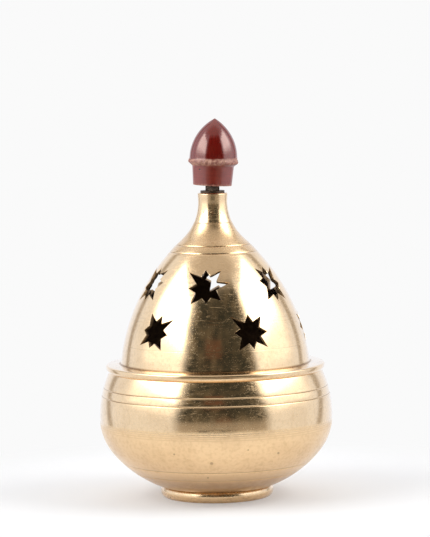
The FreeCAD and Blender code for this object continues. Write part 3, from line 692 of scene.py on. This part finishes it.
def star_outline(turn, tilt):
    """The outline as (reach, angle) round the star's middle. Straight cuts run from each point to the
    notch beside it, and the saw wanders a little on the way."""
    points = star_corners(turn, tilt)
    after = np.roll(points[:, 1], -1) + np.r_[np.zeros(7), 360.0]
    notches = np.column_stack((NOTCH * (1.0 + chance.normal(0.0, NOTCH_SPREAD, 8)), (points[:, 1] + after) / 2))
    corners = np.stack((points, notches), axis=1).reshape(-1, 2)
    flat = corners[:, :1] * np.column_stack((np.cos(np.radians(corners[:, 1])), np.sin(np.radians(corners[:, 1]))))
    share = (np.arange(CUTS_PER_EDGE) / CUTS_PER_EDGE)[None, :, None]
    cuts = flat[:, None] * (1 - share) + np.roll(flat, -1, axis=0)[:, None] * share
    cuts = cuts.reshape(-1, 2)
    reach = np.linalg.norm(cuts, axis=1) + chance.normal(0.0, SAW_WANDER, len(cuts))
    angle = np.degrees(np.unwrap(np.arctan2(cuts[:, 1], cuts[:, 0])))
    return reach, angle


stars = [(turn, level, *star_outline(turn, tilt)) for row, level in
         ((LOWER_STARS, LOWER_LEVEL), (UPPER_STARS, UPPER_LEVEL)) for turn, tilt in row]
print(len(stars), "stars, longest point", round(max(star[2].max() for star in stars), 1), "mm")

# %% The pierced sheet
SHEET_RADIUS = 33.0
ROW_STEP = 0.9
EDGE_EASE, EDGE_DROP = 0.16, 0.12
CLEAR_OF_CUT = 0.45
CUT_SOOT = 0.35


def dome_radius(swing):
    return dome_centre[0] + DOME_ARC * np.cos(swing)


def flat_from_star(turn, level, reach, angle):
    """Sheet places (x, y) of a star's outline: the height is level + reach sin angle, the swing follows
    from it, and the turn is the star's own plus the angle whose sine is reach cos angle / radius."""
    across, rise = reach * np.cos(np.radians(angle)), reach * np.sin(np.radians(angle))
    swing = np.arcsin((level + rise - dome_centre[1]) / DOME_ARC)
    turned = (turn - SEAM) % 360.0 + np.degrees(np.arcsin(across / dome_radius(swing)))
    return np.column_stack((np.radians(turned) * SHEET_RADIUS, swing * DOME_ARC))


def star_from_flat(turn, level, places):
    """The way back: reach and angle round the star's middle, far away when the place is on another side."""
    swing = places[:, 1] / DOME_ARC
    turned = places[:, 0] / SHEET_RADIUS - math.radians((turn - SEAM) % 360.0)
    across = dome_radius(swing) * np.sin(turned)
    rise = dome_centre[1] + DOME_ARC * np.sin(swing) - level
    reach = np.where(np.cos(turned) > 0.0, np.hypot(across, rise), 1e3)
    return reach, np.degrees(np.arctan2(rise, across))


def bent(places, depth):
    """Sheet places bent onto the dome, at depths under its outer face."""
    turn = places[:, 0] / SHEET_RADIUS + math.radians(SEAM)
    swing = places[:, 1] / DOME_ARC
    radius = dome_centre[0] + (DOME_ARC - depth) * np.cos(swing)
    height = RIM_LEVEL + dome_centre[1] + (DOME_ARC - depth) * np.sin(swing)
    return np.column_stack((radius * np.sin(turn), -radius * np.cos(turn), height))


def outline_at(star, angle):
    """The eased outline's reach at any angle."""
    return np.interp(angle, star[3], star[2] + EDGE_EASE, period=360.0)


def cut_sheet():
    """Even points and the star outlines, joined into triangles, without those inside a star."""
    rows = math.ceil((band_swings[1] - band_swings[0]) * DOME_ARC / ROW_STEP)
    x = np.linspace(0.0, 2 * np.pi, AROUND + 1) * SHEET_RADIUS
    y = np.linspace(*band_swings, rows + 1) * DOME_ARC
    grid = np.stack(np.meshgrid(x, y), axis=-1).reshape(-1, 2)
    free = np.ones(len(grid), bool)
    for star in stars:
        reach, angle = star_from_flat(star[0], star[1], grid)
        free &= reach > outline_at(star, angle)
    outlines = [flat_from_star(star[0], star[1], star[2] + EDGE_EASE, star[3]) for star in stars]
    for outline in outlines:
        free &= np.linalg.norm(grid[:, None] - outline, axis=2).min(axis=1) >= CLEAR_OF_CUT
    cuts, grid = np.vstack(outlines), grid[free]
    count = len(outlines[0])
    numbers = np.arange(len(cuts)).reshape(-1, count)
    edges = np.stack((numbers, np.roll(numbers, -1, axis=1)), axis=-1).reshape(-1, 2)
    joined = delaunay_2d_cdt([Vector(place) for place in np.vstack((cuts, grid))], edges.tolist(), [], 0, 1e-6)
    places = np.array([tuple(place) for place in joined[0]])
    triangles = np.array(joined[2])
    middles = places[triangles].mean(axis=1)
    solid = np.ones(len(triangles), bool)
    for star in stars:
        reach, angle = star_from_flat(star[0], star[1], middles)
        solid &= reach > outline_at(star, angle)
    return places, triangles[solid]


places, triangles = cut_sheet()
print("pierced sheet:", len(places), "points,", len(triangles), "triangles")

# %% The cut edges
ON_BORDER = 0.01


def cut_edges(places, triangles):
    """Edges with one triangle beside them that aren't on the sheet's own border."""
    sides = np.vstack((triangles[:, (0, 1)], triangles[:, (1, 2)], triangles[:, (2, 0)]))
    _, first, count = np.unique(np.sort(sides, axis=1), axis=0, return_index=True, return_counts=True)
    lone = sides[first[count == 1]]
    x, y = places[lone][..., 0], places[lone][..., 1]
    border = np.zeros(len(lone), bool)
    for value, lines in ((x, (0.0, 2 * np.pi * SHEET_RADIUS)), (y, np.multiply(band_swings, DOME_ARC))):
        for line in lines:
            border |= (np.abs(value - line) < ON_BORDER).all(axis=1)
    return lone[~border]


def pierced_band():
    """The outer and inner sheets, and between them round each star an eased edge and a wall."""
    edges = cut_edges(places, triangles)
    rim = np.unique(edges)
    order = np.zeros(len(places), int)
    order[rim] = np.arange(len(rim))
    reaches, angles = zip(*(star_from_flat(star[0], star[1], places[rim]) for star in stars))
    owner = np.argmin(reaches, axis=0)
    sawn = np.zeros((len(rim), 2))
    for number, star in enumerate(stars):
        mine = owner == number
        sawn[mine] = flat_from_star(star[0], star[1], reaches[number][mine] - EDGE_EASE, angles[number][mine])
    outer, inner = bent(places, 0.0), bent(places, DOME_WALL)
    middle = bent(sawn, EDGE_DROP)
    total, lip = len(places), 2 * len(places)
    first, second = edges.T
    ease_faces = np.column_stack((second, first, lip + order[first], lip + order[second]))
    wall_faces = np.column_stack((lip + order[second], lip + order[first], total + first, total + second))
    values = np.zeros((lip + len(rim), 2))
    values[total:lip, 0] = 1.0
    values[lip:] = (CUT_SOOT, 1.0)
    points = np.vstack((outer, inner, middle))
    sheets = np.vstack((triangles, triangles[:, ::-1] + total))
    return [(points, sheets, values), (points, np.vstack((ease_faces, wall_faces)), values)]


band = pierced_band()
lid = make_piece("brass_lid", strips + band)

# %% [markdown]
# ## Keeping the polish true on the dome
#
# The renderer guesses the surface's direction at a point from the faces round
# it. Beside a star, half of those faces are missing, and the guess bends the
# reflections. The dome is part of a ring-shaped surface whose direction is
# known exactly, away from the arc's centre, so the true one is stored for it.

# %% True directions on the dome
ON_FACE = 0.02


def set_true_directions(piece):
    """Corner normals: (place - arc centre) / arc radius on the dome's two faces, and the usual ones elsewhere."""
    mesh = piece.data
    points = np.empty(len(mesh.vertices) * 3)
    mesh.vertices.foreach_get("co", points)
    points = points.reshape(-1, 3) / MM
    radius = np.hypot(points[:, 0], points[:, 1])
    out = np.column_stack((radius - dome_centre[0], points[:, 2] - RIM_LEVEL - dome_centre[1]))
    reach = np.linalg.norm(out, axis=1)
    away = np.column_stack((points[:, :2] / radius.clip(1e-6)[:, None] * out[:, :1], out[:, 1])) / reach[:, None]
    corners = np.empty(len(mesh.loops), int)
    mesh.loops.foreach_get("vertex_index", corners)
    totals = np.empty(len(mesh.polygons), int)
    mesh.polygons.foreach_get("loop_total", totals)
    face_of_corner = np.repeat(np.arange(len(totals)), totals)
    normals = np.zeros((len(corners), 3))
    for face_reach, sign in ((DOME_ARC, 1.0), (DOME_ARC - DOME_WALL, -1.0)):
        on_face = (np.abs(reach - face_reach) < ON_FACE) & (out[:, 1] > BAND_LOW - dome_centre[1] - 1.0)
        on_face &= out[:, 1] < BAND_HIGH - dome_centre[1] + 1.0
        whole = np.bincount(face_of_corner, ~on_face[corners], len(totals)) == 0
        chosen = whole[face_of_corner]
        normals[chosen] = sign * away[corners[chosen]]
    mesh.normals_split_custom_set(normals.tolist())
    print("true directions on", int((normals != 0).any(axis=1).sum()), "of", len(corners), "corners")


set_true_directions(lid)

# %% [markdown]
# ## The neck
#
# A short turning soldered into the crown. It carries the hollow sweep on to
# the throat, and the stud goes down its middle.

# %% Neck
NECK_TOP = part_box("neck")[1].z / MM
NECK_FLARE, NECK_CHAMFER = 0.2, 0.4
STUD_BORE, STUD_DEPTH, SOLDER_GAP = 1.55, 8.0, 0.03


def neck_profile():
    """Spigot, seat, hollow sweep, throat, top with its chamfer, and the stud's bore."""
    seam = RIM_LEVEL + CROWN
    throat = np.array((THROAT, seam + THROAT_RISE))
    centre = throat + (NECK_SWEEP, 0.0)
    foot = (centre[0] - math.sqrt(NECK_SWEEP**2 - THROAT_RISE**2), seam)
    spigot, end, top = SOCKET - SOLDER_GAP, seam - SOCKET_DEPTH + SOLDER_GAP, THROAT + NECK_FLARE
    bore_floor = NECK_TOP - STUD_DEPTH
    return stretch(np.vstack((
        [(0.0, end), (spigot, end), (spigot, seam)], arc(centre, foot, throat),
        [(top, NECK_TOP - NECK_CHAMFER), (top - NECK_CHAMFER, NECK_TOP), (STUD_BORE, NECK_TOP),
         (STUD_BORE, bore_floor), (0.0, bore_floor)])))


neck = make_piece("brass_neck", [carried_round(polished(neck_profile(), 0.10))])

# %% [markdown]
# ## The wooden knob
#
# Turned from wood by eye, lacquered red, and screwed onto the stud a few
# degrees out of true. Its ring has been knocked: the edge is chipped and the
# lacquer is worn off it. The profile is carried round like the others. Then
# soft waves make it slightly uneven, chips are taken out of the ring, and the
# whole knob is leaned over about its own foot.

# %% Knob
KNOB_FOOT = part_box("nut")[1].z / MM + 0.25
KNOB_LEAN = 3.0
KNOB_RIM = ((7.6, 0.0), (8.2, 7.6), (9.85, 8.9), (9.85, 9.6))
BULB, SHOULDER, KNOB_TIP = (9.4, 10.5), (0.8, 25.8), 26.3
KNOB_BORE, KNOB_BORE_DEPTH = 2.15, 11.3
WAVES, WAVE_DEPTH = 6, 0.035
CHIP_DEPTH, CHIP_FROM, CHIP_RANGE = 0.22, 0.12, 0.3
RING_LEVEL, RING_REACH = 9.2, 0.7
FOOT_SHARE, FOOT_REACH = 0.6, 0.5


def knob_profile():
    """Bore, underside, shank, ring, and a pointed bulb whose flank is one arc."""
    inset, rise = BULB[0] - SHOULDER[0], SHOULDER[1] - BULB[1]
    radius = (inset**2 + rise**2) / (2 * inset)
    flank = arc((BULB[0] - radius, BULB[1]), BULB, SHOULDER)
    bore = [(0.0, KNOB_BORE_DEPTH), (KNOB_BORE, KNOB_BORE_DEPTH), (KNOB_BORE, 0.0)]
    return stretch(np.vstack((bore, KNOB_RIM, flank, [(0.0, KNOB_TIP)])))


def uneven(points):
    """Points pulled in towards the axis: soft waves sin(n turn + k height + phase) all over, and chips
    where a faster sum of waves is high, on the ring's edge and on the foot's edge only."""
    turn, radius = np.arctan2(points[:, 0], -points[:, 1]), np.hypot(points[:, 0], points[:, 1])
    soft, quick = np.zeros(len(points)), np.zeros(len(points))
    for _ in range(WAVES):
        phase, steep = chance.uniform(0, 2 * np.pi, 2), chance.normal(0.0, 0.25, 2)
        soft += np.sin(chance.integers(1, 5) * turn + steep[0] * points[:, 2] + phase[0]) / WAVES
        quick += np.sin(chance.integers(9, 40) * turn + 3 * steep[1] * points[:, 2] + phase[1]) / WAVES
    ring = np.exp(-(((points[:, 2] - RING_LEVEL) / RING_REACH) ** 2))
    edges = ring + FOOT_SHARE * np.exp(-((points[:, 2] / FOOT_REACH) ** 2))
    chips = np.clip((quick - CHIP_FROM) / CHIP_RANGE, 0.0, 1.0) * edges
    pull = (WAVE_DEPTH * (0.5 + 0.5 * soft) + CHIP_DEPTH * chips) * (radius > KNOB_BORE + 1.0)
    inward = 1.0 - np.minimum(pull / radius.clip(0.5), 0.2)
    return points * np.column_stack((inward, inward, np.ones(len(points))))


def leaned(points):
    """Turned about Y through the knob's foot, so that its top moves towards +X."""
    lean = math.radians(KNOB_LEAN)
    x, y, z = points.T
    return np.column_stack((x * math.cos(lean) + z * math.sin(lean), y,
                            KNOB_FOOT - x * math.sin(lean) + z * math.cos(lean)))


knob_points, knob_faces, knob_values = carried_round(polished(knob_profile(), 0.16))
knob = make_piece("red_knob", [(leaned(uneven(knob_points)), knob_faces, knob_values)])

# %% [markdown]
# ## Effects that several finishes share
#
# Five node groups: turning marks, scratches, pits, clouds of tarnish, and
# level streaks. Image textures would need each piece unwrapped. These read
# Object coordinates instead, so they stay with the piece and look the same
# from all sides. Each gives a mask or a height, and each material that uses
# one sets its own values.

# %% Making and placing a group
PER_METRE = 1000.0
GROUPS = {}


def make_group(work_out, output, **inputs):
    """A group named after the function that works out its one output from its named numbers."""
    tree = bpy.data.node_groups.new(work_out.__name__, "ShaderNodeTree")
    for label, value in inputs.items():
        label = label.replace("_", " ")
        socket = tree.interface.new_socket(name=label, in_out="INPUT", socket_type="NodeSocketFloat")
        socket.default_value = value
    tree.interface.new_socket(name=output, in_out="OUTPUT", socket_type="NodeSocketFloat")
    make, given = Maker(tree), tree.nodes.new("NodeGroupInput")
    made = work_out(make, *(Output(make, given, number) for number in range(len(inputs))))
    tree.links.new(made.node.outputs[made.name], tree.nodes.new("NodeGroupOutput").inputs[0])
    GROUPS[tree.name] = tree
    print("group", tree.name, "takes", list(inputs))


def effect(make, name, **values):
    """One of the groups placed in a material, with that material's own values."""
    inputs = {label.replace("_", " "): value for label, value in values.items()}
    return make.add("Group", inputs, node_tree=GROUPS[name])


def layered(start, layers):
    """start plus each mask times its share."""
    for mask, share in layers:
        start = start + mask * share
    return start


# %% Turning marks
FADES_PER_METRE, FADE_RANGE = 70.0, (0.3, 0.7)


def turning_marks(make, lines_per_mm):
    """Rings left by the tool: noise over (distance from the axis, height), so it is the same all round,
    faded in and out by a broad noise as the marks of a hand polish are."""
    place = make.place()
    x, y, z = make.parts(place)
    level = make.add("CombineXYZ", {"X": x, "Y": y})
    radius = make.add("VectorMath", {0: level}, "Value", operation="LENGTH")
    ring = make.add("CombineXYZ", {"X": radius, "Y": z})
    fine = make.noise(ring, lines_per_mm * PER_METRE, 2.0, noise_dimensions="2D")
    return fine * make.ease(make.noise(place, FADES_PER_METRE, 1.0), *FADE_RANGE)


make_group(turning_marks, "Height", lines_per_mm=4.0)

# %% Scratches
DASH_DIRECTIONS = ((0.0, 1.52, 0.0), (0.1, 1.66, 0.0), (1.50, 0.0, 0.0), (1.62, 0.0, 0.75), (0.5, 0.9, 0.3))
DASHES_PER_METRE = (3600.0, 3600.0, 150.0)
DASH_START, DASH_GAIN, DASH_FULL = 0.84, 0.2, 0.9


def scratches(make, share):
    """Thin dashes in five directions, four of them nearly level: noise squeezed along one axis of each
    and cut high."""
    place, total = make.place(), 0.0
    for angles in DASH_DIRECTIONS:
        turned = make.add("Mapping", {"Vector": place, "Rotation": angles})
        long = make.add("VectorMath", {0: turned, 1: DASHES_PER_METRE}, operation="MULTIPLY")
        total = total | make.ease(make.noise(long, 1.0, 0.0), DASH_START - share * DASH_GAIN, DASH_FULL)
    return total


make_group(scratches, "Mask", share=0.5)


# %% Pits, clouds and streaks
LARGEST_PIT, PIT_SLOPE = 0.6, 0.06
CLOUD_SOFTNESS, STREAK_SOFTNESS = 0.25, 0.2


def pits(make, cells_per_mm, share):
    """Small round hollows: in each cell of a Voronoi pattern, a hole of random size, and many of none."""
    middle = make.add("TexVoronoi", {"Vector": make.place(), "Scale": cells_per_mm * PER_METRE}, "Distance")
    lot = make.add("SeparateColor", {0: middle.beside("Color")})
    size = (lot - (1.0 - share)) * LARGEST_PIT | 0.0
    return make.ease(size - middle, 0.0, PIT_SLOPE)


def clouds(make, size_mm, cut):
    """Soft patches of a given size, for tarnish, smudges and thin polish."""
    puff = make.noise(make.place(), make.maths("DIVIDE", PER_METRE, size_mm), 4.0, roughness=0.55)
    return make.ease(puff, cut, cut + CLOUD_SOFTNESS)


def streaks(make, height_mm, length_mm, cut):
    """Level smears of the polishing cloth: noise stretched round the piece, long and low."""
    x, y, z = make.parts(make.place())
    around, upright = (make.maths("DIVIDE", PER_METRE, size) for size in (length_mm, height_mm))
    smear = make.add("CombineXYZ", {"X": x * around, "Y": y * around, "Z": z * upright})
    return make.ease(make.noise(smear, 1.0, 3.0), cut, cut + STREAK_SOFTNESS)


make_group(pits, "Mask", cells_per_mm=1.0, share=0.5)
make_group(clouds, "Mask", size_mm=12.0, cut=0.5)
make_group(streaks, "Mask", height_mm=0.5, length_mm=8.0, cut=0.5)

# %% [markdown]
# ## Brass
#
# One recipe serves the polished lid and neck, the bowl and foot, and the cup.
# Clean brass is a pale warm metal. Tarnish darkens and reddens it in clouds,
# soot turns the inside brown-black and dull, and edges stay bright because
# hands and cloths keep them so. Roughness and a very fine bump carry turning
# marks, scratches and pits. A thin clear varnish over the clean metal pales
# its highlights. The bowl and the lid's crown also have a satin finish, where
# the polishing wheel stopped.
# The lower parts of the bowl and the foot are painted darker, as painted shade.

# %% Rings and single marks
RING_WIDTH = 0.20


def any_ring(make, height, levels):
    """A mask of fine lines round the piece at some heights."""
    total = 0.0
    for level in levels:
        total = total | make.ease(make.maths("ABSOLUTE", height - level), RING_WIDTH, 0.0)
    return total


def any_mark(make, place, marks):
    """A mask of single pits on the front, each (x, height, radius): nearer than the radius, y below 0."""
    x, y, z = make.parts(place)
    flat, total = make.add("CombineXYZ", {"X": x, "Z": z}), 0.0
    for across, level, radius in marks:
        centre = (across * MM, 0.0, level * MM)
        away = make.add("VectorMath", {0: flat, 1: centre}, "Value", operation="DISTANCE")
        total = total | make.ease(away, radius * MM, 0.5 * radius * MM)
    return total * make.ease(y, 0.0, -MM)


# %% Brass recipe
CLEAN_BRASS, OLD_BRASS = (0.885, 0.620, 0.340, 1.0), (0.55, 0.335, 0.150, 1.0)
GRIME, SOOT = (0.26, 0.145, 0.065, 1.0), (0.060, 0.026, 0.009, 1.0)
MARK_DEPTH, SCRATCH_DEPTH, PIT_DEPTH, WAVE_HEIGHT, RING_DEPTH = 0.0016, 0.006, 0.07, 0.016, 0.018
MARK_SHARE = 0.55
SATIN_WAVER, SATIN_SHIFT = 1.2, 0.6
SOOT_ROUGHNESS, SOOT_METAL = 0.62, 0.25
VARNISH_IOR, VARNISH_ROUGHNESS = 1.68, 0.10


def brass(name, polish=0.10, satin=0.30, satin_zone=None, tarnish=0.25, pitted=0.10, rings=(), painted_shade_below=None,
          marks=(), satin_tarnish=0.0):
    """A brass finish. satin_zone is (fully polished, fully satin) in heights, or None for polish
    all over. rings are heights of fine lines left by the tool's point. The painted shade heights are
    (unshaded, darkest): towards the bottom the metal is painted darker and browner. marks are single pits for
    any_mark."""
    material, make = new_material(name)
    place = make.place()
    height = make.parts(place)[2] * PER_METRE
    patches = effect(make, "clouds", size_mm=9.0, cut=0.45)
    smears = effect(make, "clouds", size_mm=3.0, cut=0.40)
    mottle = effect(make, "clouds", size_mm=1.3, cut=0.42)
    cloth = effect(make, "streaks", height_mm=0.30, length_mm=5.0, cut=0.50)
    dashes = effect(make, "scratches", share=0.6)
    fine = effect(make, "turning_marks", lines_per_mm=5.0)
    coarse = effect(make, "turning_marks", lines_per_mm=0.8)
    holes = effect(make, "pits", cells_per_mm=0.8, share=pitted) | any_mark(make, place, marks) * MARK_SHARE
    level = any_ring(make, height, rings)
    dull = 0.0
    if satin_zone:
        dull = make.ease(height + coarse * SATIN_WAVER, *(limit + SATIN_SHIFT for limit in satin_zone))
    hollow = make.ease(make.stored("edge"), -0.05, -0.7)
    proud = make.ease(make.stored("edge"), 0.25, 0.9)
    stain_and_shade = patches * tarnish + mottle * 0.20 + dull * satin_tarnish
    for mask, share in ((cloth, 0.5 * tarnish), (hollow, 0.9), (level, 0.4), (holes, 0.95)):
        stain_and_shade = stain_and_shade | mask * share
    stain_and_shade = stain_and_shade * (1.0 - proud * 0.6)
    # painted shade: towards the bottom the metal is painted darker and browner, patchy with smears
    if painted_shade_below:
        stain_and_shade = stain_and_shade | make.ease(height, *painted_shade_below) * make.between(smears, 1.0, 0.8)
    smoked = make.stored("soot") * make.between(smears, 1.0, 0.94)
    colour = make.mixed(stain_and_shade, CLEAN_BRASS, OLD_BRASS)
    colour = make.mixed((hollow | holes) * 0.75, colour, GRIME)
    colour = make.mixed(smoked, colour, SOOT)
    shine = layered(make.between(dull, polish, satin), (
        (smears, 0.03), (dashes, 0.20), (stain_and_shade, 0.10), (cloth, 0.10), (mottle, 0.07)))
    relief = layered(fine * make.between(dull, MARK_DEPTH, 3 * MARK_DEPTH), (
        (coarse, WAVE_HEIGHT), (dashes, -SCRATCH_DEPTH), (holes, -PIT_DEPTH), (level, -RING_DEPTH)))
    varnish = (1.0 - (smoked | hollow)) * make.between(dull, 0.9, 0.6)
    make.skin(relief, {
        "Base Color": colour, "Roughness": make.between(smoked, shine, SOOT_ROUGHNESS),
        "Metallic": make.between(smoked, 1.0, SOOT_METAL), "Coat Weight": varnish,
        "Coat Roughness": VARNISH_ROUGHNESS, "Coat IOR": VARNISH_IOR})
    return material


# %% The brass finishes
# the lid is painted darker below 46 mm high
bright_brass = brass("polished_brass", 0.085, 0.21, satin_zone=(94.0, 99.0), tarnish=0.22, pitted=0.05,
                     rings=(60.8, 71.0, 72.4), painted_shade_below=(46.0, 44.0), satin_tarnish=0.30)
bowl_pits = ((-2.0, 18.9, 0.8), (-16.2, 22.5, 0.5), (23.6, 21.7, 0.6), (-3.5, 12.4, 0.5), (12.0, 24.0, 0.4))
# the bowl is painted darker from 15 mm down to 7.5 mm high: painted shade above the foot ring
bowl_brass = brass("cast_brass", 0.10, 0.30, satin_zone=(31.0, 28.5), tarnish=0.2, pitted=0.17,
                   rings=(27.9, 28.8, 29.6, 30.4, 12.3), painted_shade_below=(15.0, 7.5), marks=bowl_pits)
# the foot is painted darker along its lowest 1.6 mm: a painted shadow line where it meets the floor
foot_brass = brass("cast_brass_foot", 0.17, tarnish=0.6, pitted=0.2, painted_shade_below=(1.6, 0.2))
neck_brass = brass("polished_brass_neck", 0.16, tarnish=0.5, pitted=0.3, rings=(111.7,),
                   marks=((-3.6, 112.4, 0.45), (-1.0, 112.6, 0.4), (2.9, 112.2, 0.3)))
black_brass = brass("sooted_brass", 0.35, tarnish=0.8, pitted=0.3)
print([finish.name for finish in (bright_brass, bowl_brass, foot_brass, neck_brass, black_brass)])

# %% [markdown]
# ## Red lacquer on wood
#
# The knob's lacquer is a dark red film over a turned grain, clear on top and
# dull where it is handled. On the ring's edge it has worn through to pinkish
# wood. The shine over the film is the shader's own, tinted a little warm.

# %% Lacquer
DEEP_RED = (0.130, 0.0030, 0.0012, 1.0)
WORN_RED = (0.190, 0.014, 0.005, 1.0)
BARE_WOOD = (0.46, 0.24, 0.165, 1.0)
DIRT = (0.030, 0.010, 0.006, 1.0)
HANDLED = (9.2, 8.4)
RING_LOW, RING_HIGH = (7.9, 8.3), (11.0, 10.2)
LACQUER_SHINE = 0.12
KNOB_MARKS = ((-4.8, 129.3, 0.42),)
LACQUER_IOR, LACQUER_TINT = 1.95, (1.0, 0.78, 0.70, 1.0)


def lacquer():
    """Red film, thin in places and gone on the worn edge. Below the ring, where fingers turn it,
    the film is thinner and dull."""
    material, make = new_material("red_lacquered_wood")
    place = make.place()
    rise = make.parts(place)[2] * PER_METRE - KNOB_FOOT
    thin = effect(make, "clouds", size_mm=5.0, cut=0.45)
    ragged = effect(make, "clouds", size_mm=1.1, cut=0.40)
    grain = effect(make, "turning_marks", lines_per_mm=1.6)
    dashes = effect(make, "scratches", share=0.55)
    smear = effect(make, "streaks", height_mm=0.45, length_mm=5.0, cut=0.42)
    dent = any_mark(make, place, KNOB_MARKS)
    handled = make.ease(rise, *HANDLED)
    band = make.ease(rise, *RING_LOW) * make.ease(rise, *RING_HIGH)
    lips = make.ease(make.stored("edge"), 0.15, 0.7) | band * 0.75
    worn = make.maths("MINIMUM", lips * (ragged + 0.35), 1.0)
    rubbed = thin * 0.12 | handled * (smear * 0.7 + 0.45)
    colour = make.mixed(worn, make.mixed(rubbed, DEEP_RED, WORN_RED), BARE_WOOD)
    shine = layered(LACQUER_SHINE, ((worn, 0.35), (band, 0.25), (handled, 0.16), (dent, 0.3)))
    make.skin(layered(grain * 0.02, ((dashes, -0.01), (smear, 0.006), (dent, -0.2))), {
        "Base Color": make.mixed(dent, colour, DIRT), "Roughness": shine, "IOR": LACQUER_IOR,
        "Specular Tint": LACQUER_TINT})
    return material


knob_finish = lacquer()
print(knob_finish.name, "has", len(knob_finish.node_tree.nodes), "nodes")

# %% [markdown]
# ## The stud, washer and nut
#
# Plain steel fasteners, brown-black from years of smoke. Their shapes in the
# packed model are right, so only their material changes.

# %% Dark steel
DARK_STEEL = (0.085, 0.060, 0.040, 1.0)
RUSTY = (0.060, 0.030, 0.016, 1.0)


def dark_steel():
    """Smoked steel with rusty patches."""
    material, make = new_material("dark_steel")
    rust = effect(make, "clouds", size_mm=1.5, cut=0.42)
    make.skin(effect(make, "turning_marks", lines_per_mm=3.0) * 0.01, {
        "Base Color": make.mixed(rust, DARK_STEEL, RUSTY), "Roughness": make.between(rust, 0.34, 0.65),
        "Metallic": make.between(rust, 0.9, 0.2)})
    return material


steel = dark_steel()
for name in ("stud", "washer", "nut"):
    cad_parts[name].material_slots[0].material = steel
print("steel on stud, washer and nut")

# %% [markdown]
# ## Bringing it together
#
# Each new piece takes its finish, rides with the body that it belongs to, and
# stands for the packed node whose surface it replaces.

# %% Finishes, bodies and nodes
PIECES = (
    (bowl, bowl_brass, "base", "bowl", "cast_brass"),
    (foot, foot_brass, "base", "foot_ring", "cast_brass"),
    (cup, black_brass, "cup", "charcoal_cup", "sooted_brass"),
    (lid, bright_brass, "lid", "lid_dome", "polished_brass"),
    (neck, neck_brass, "lid", "neck", "polished_brass"),
    (knob, knob_finish, "handle", "knob", "red_lacquered_wood"),
)
for piece, finish, body, stands_for, finish_slot in PIECES:
    piece.data.materials.append(finish)
    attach(piece, body)
    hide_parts(stands_for)
print("pieces", [piece[0].name for piece in PIECES])
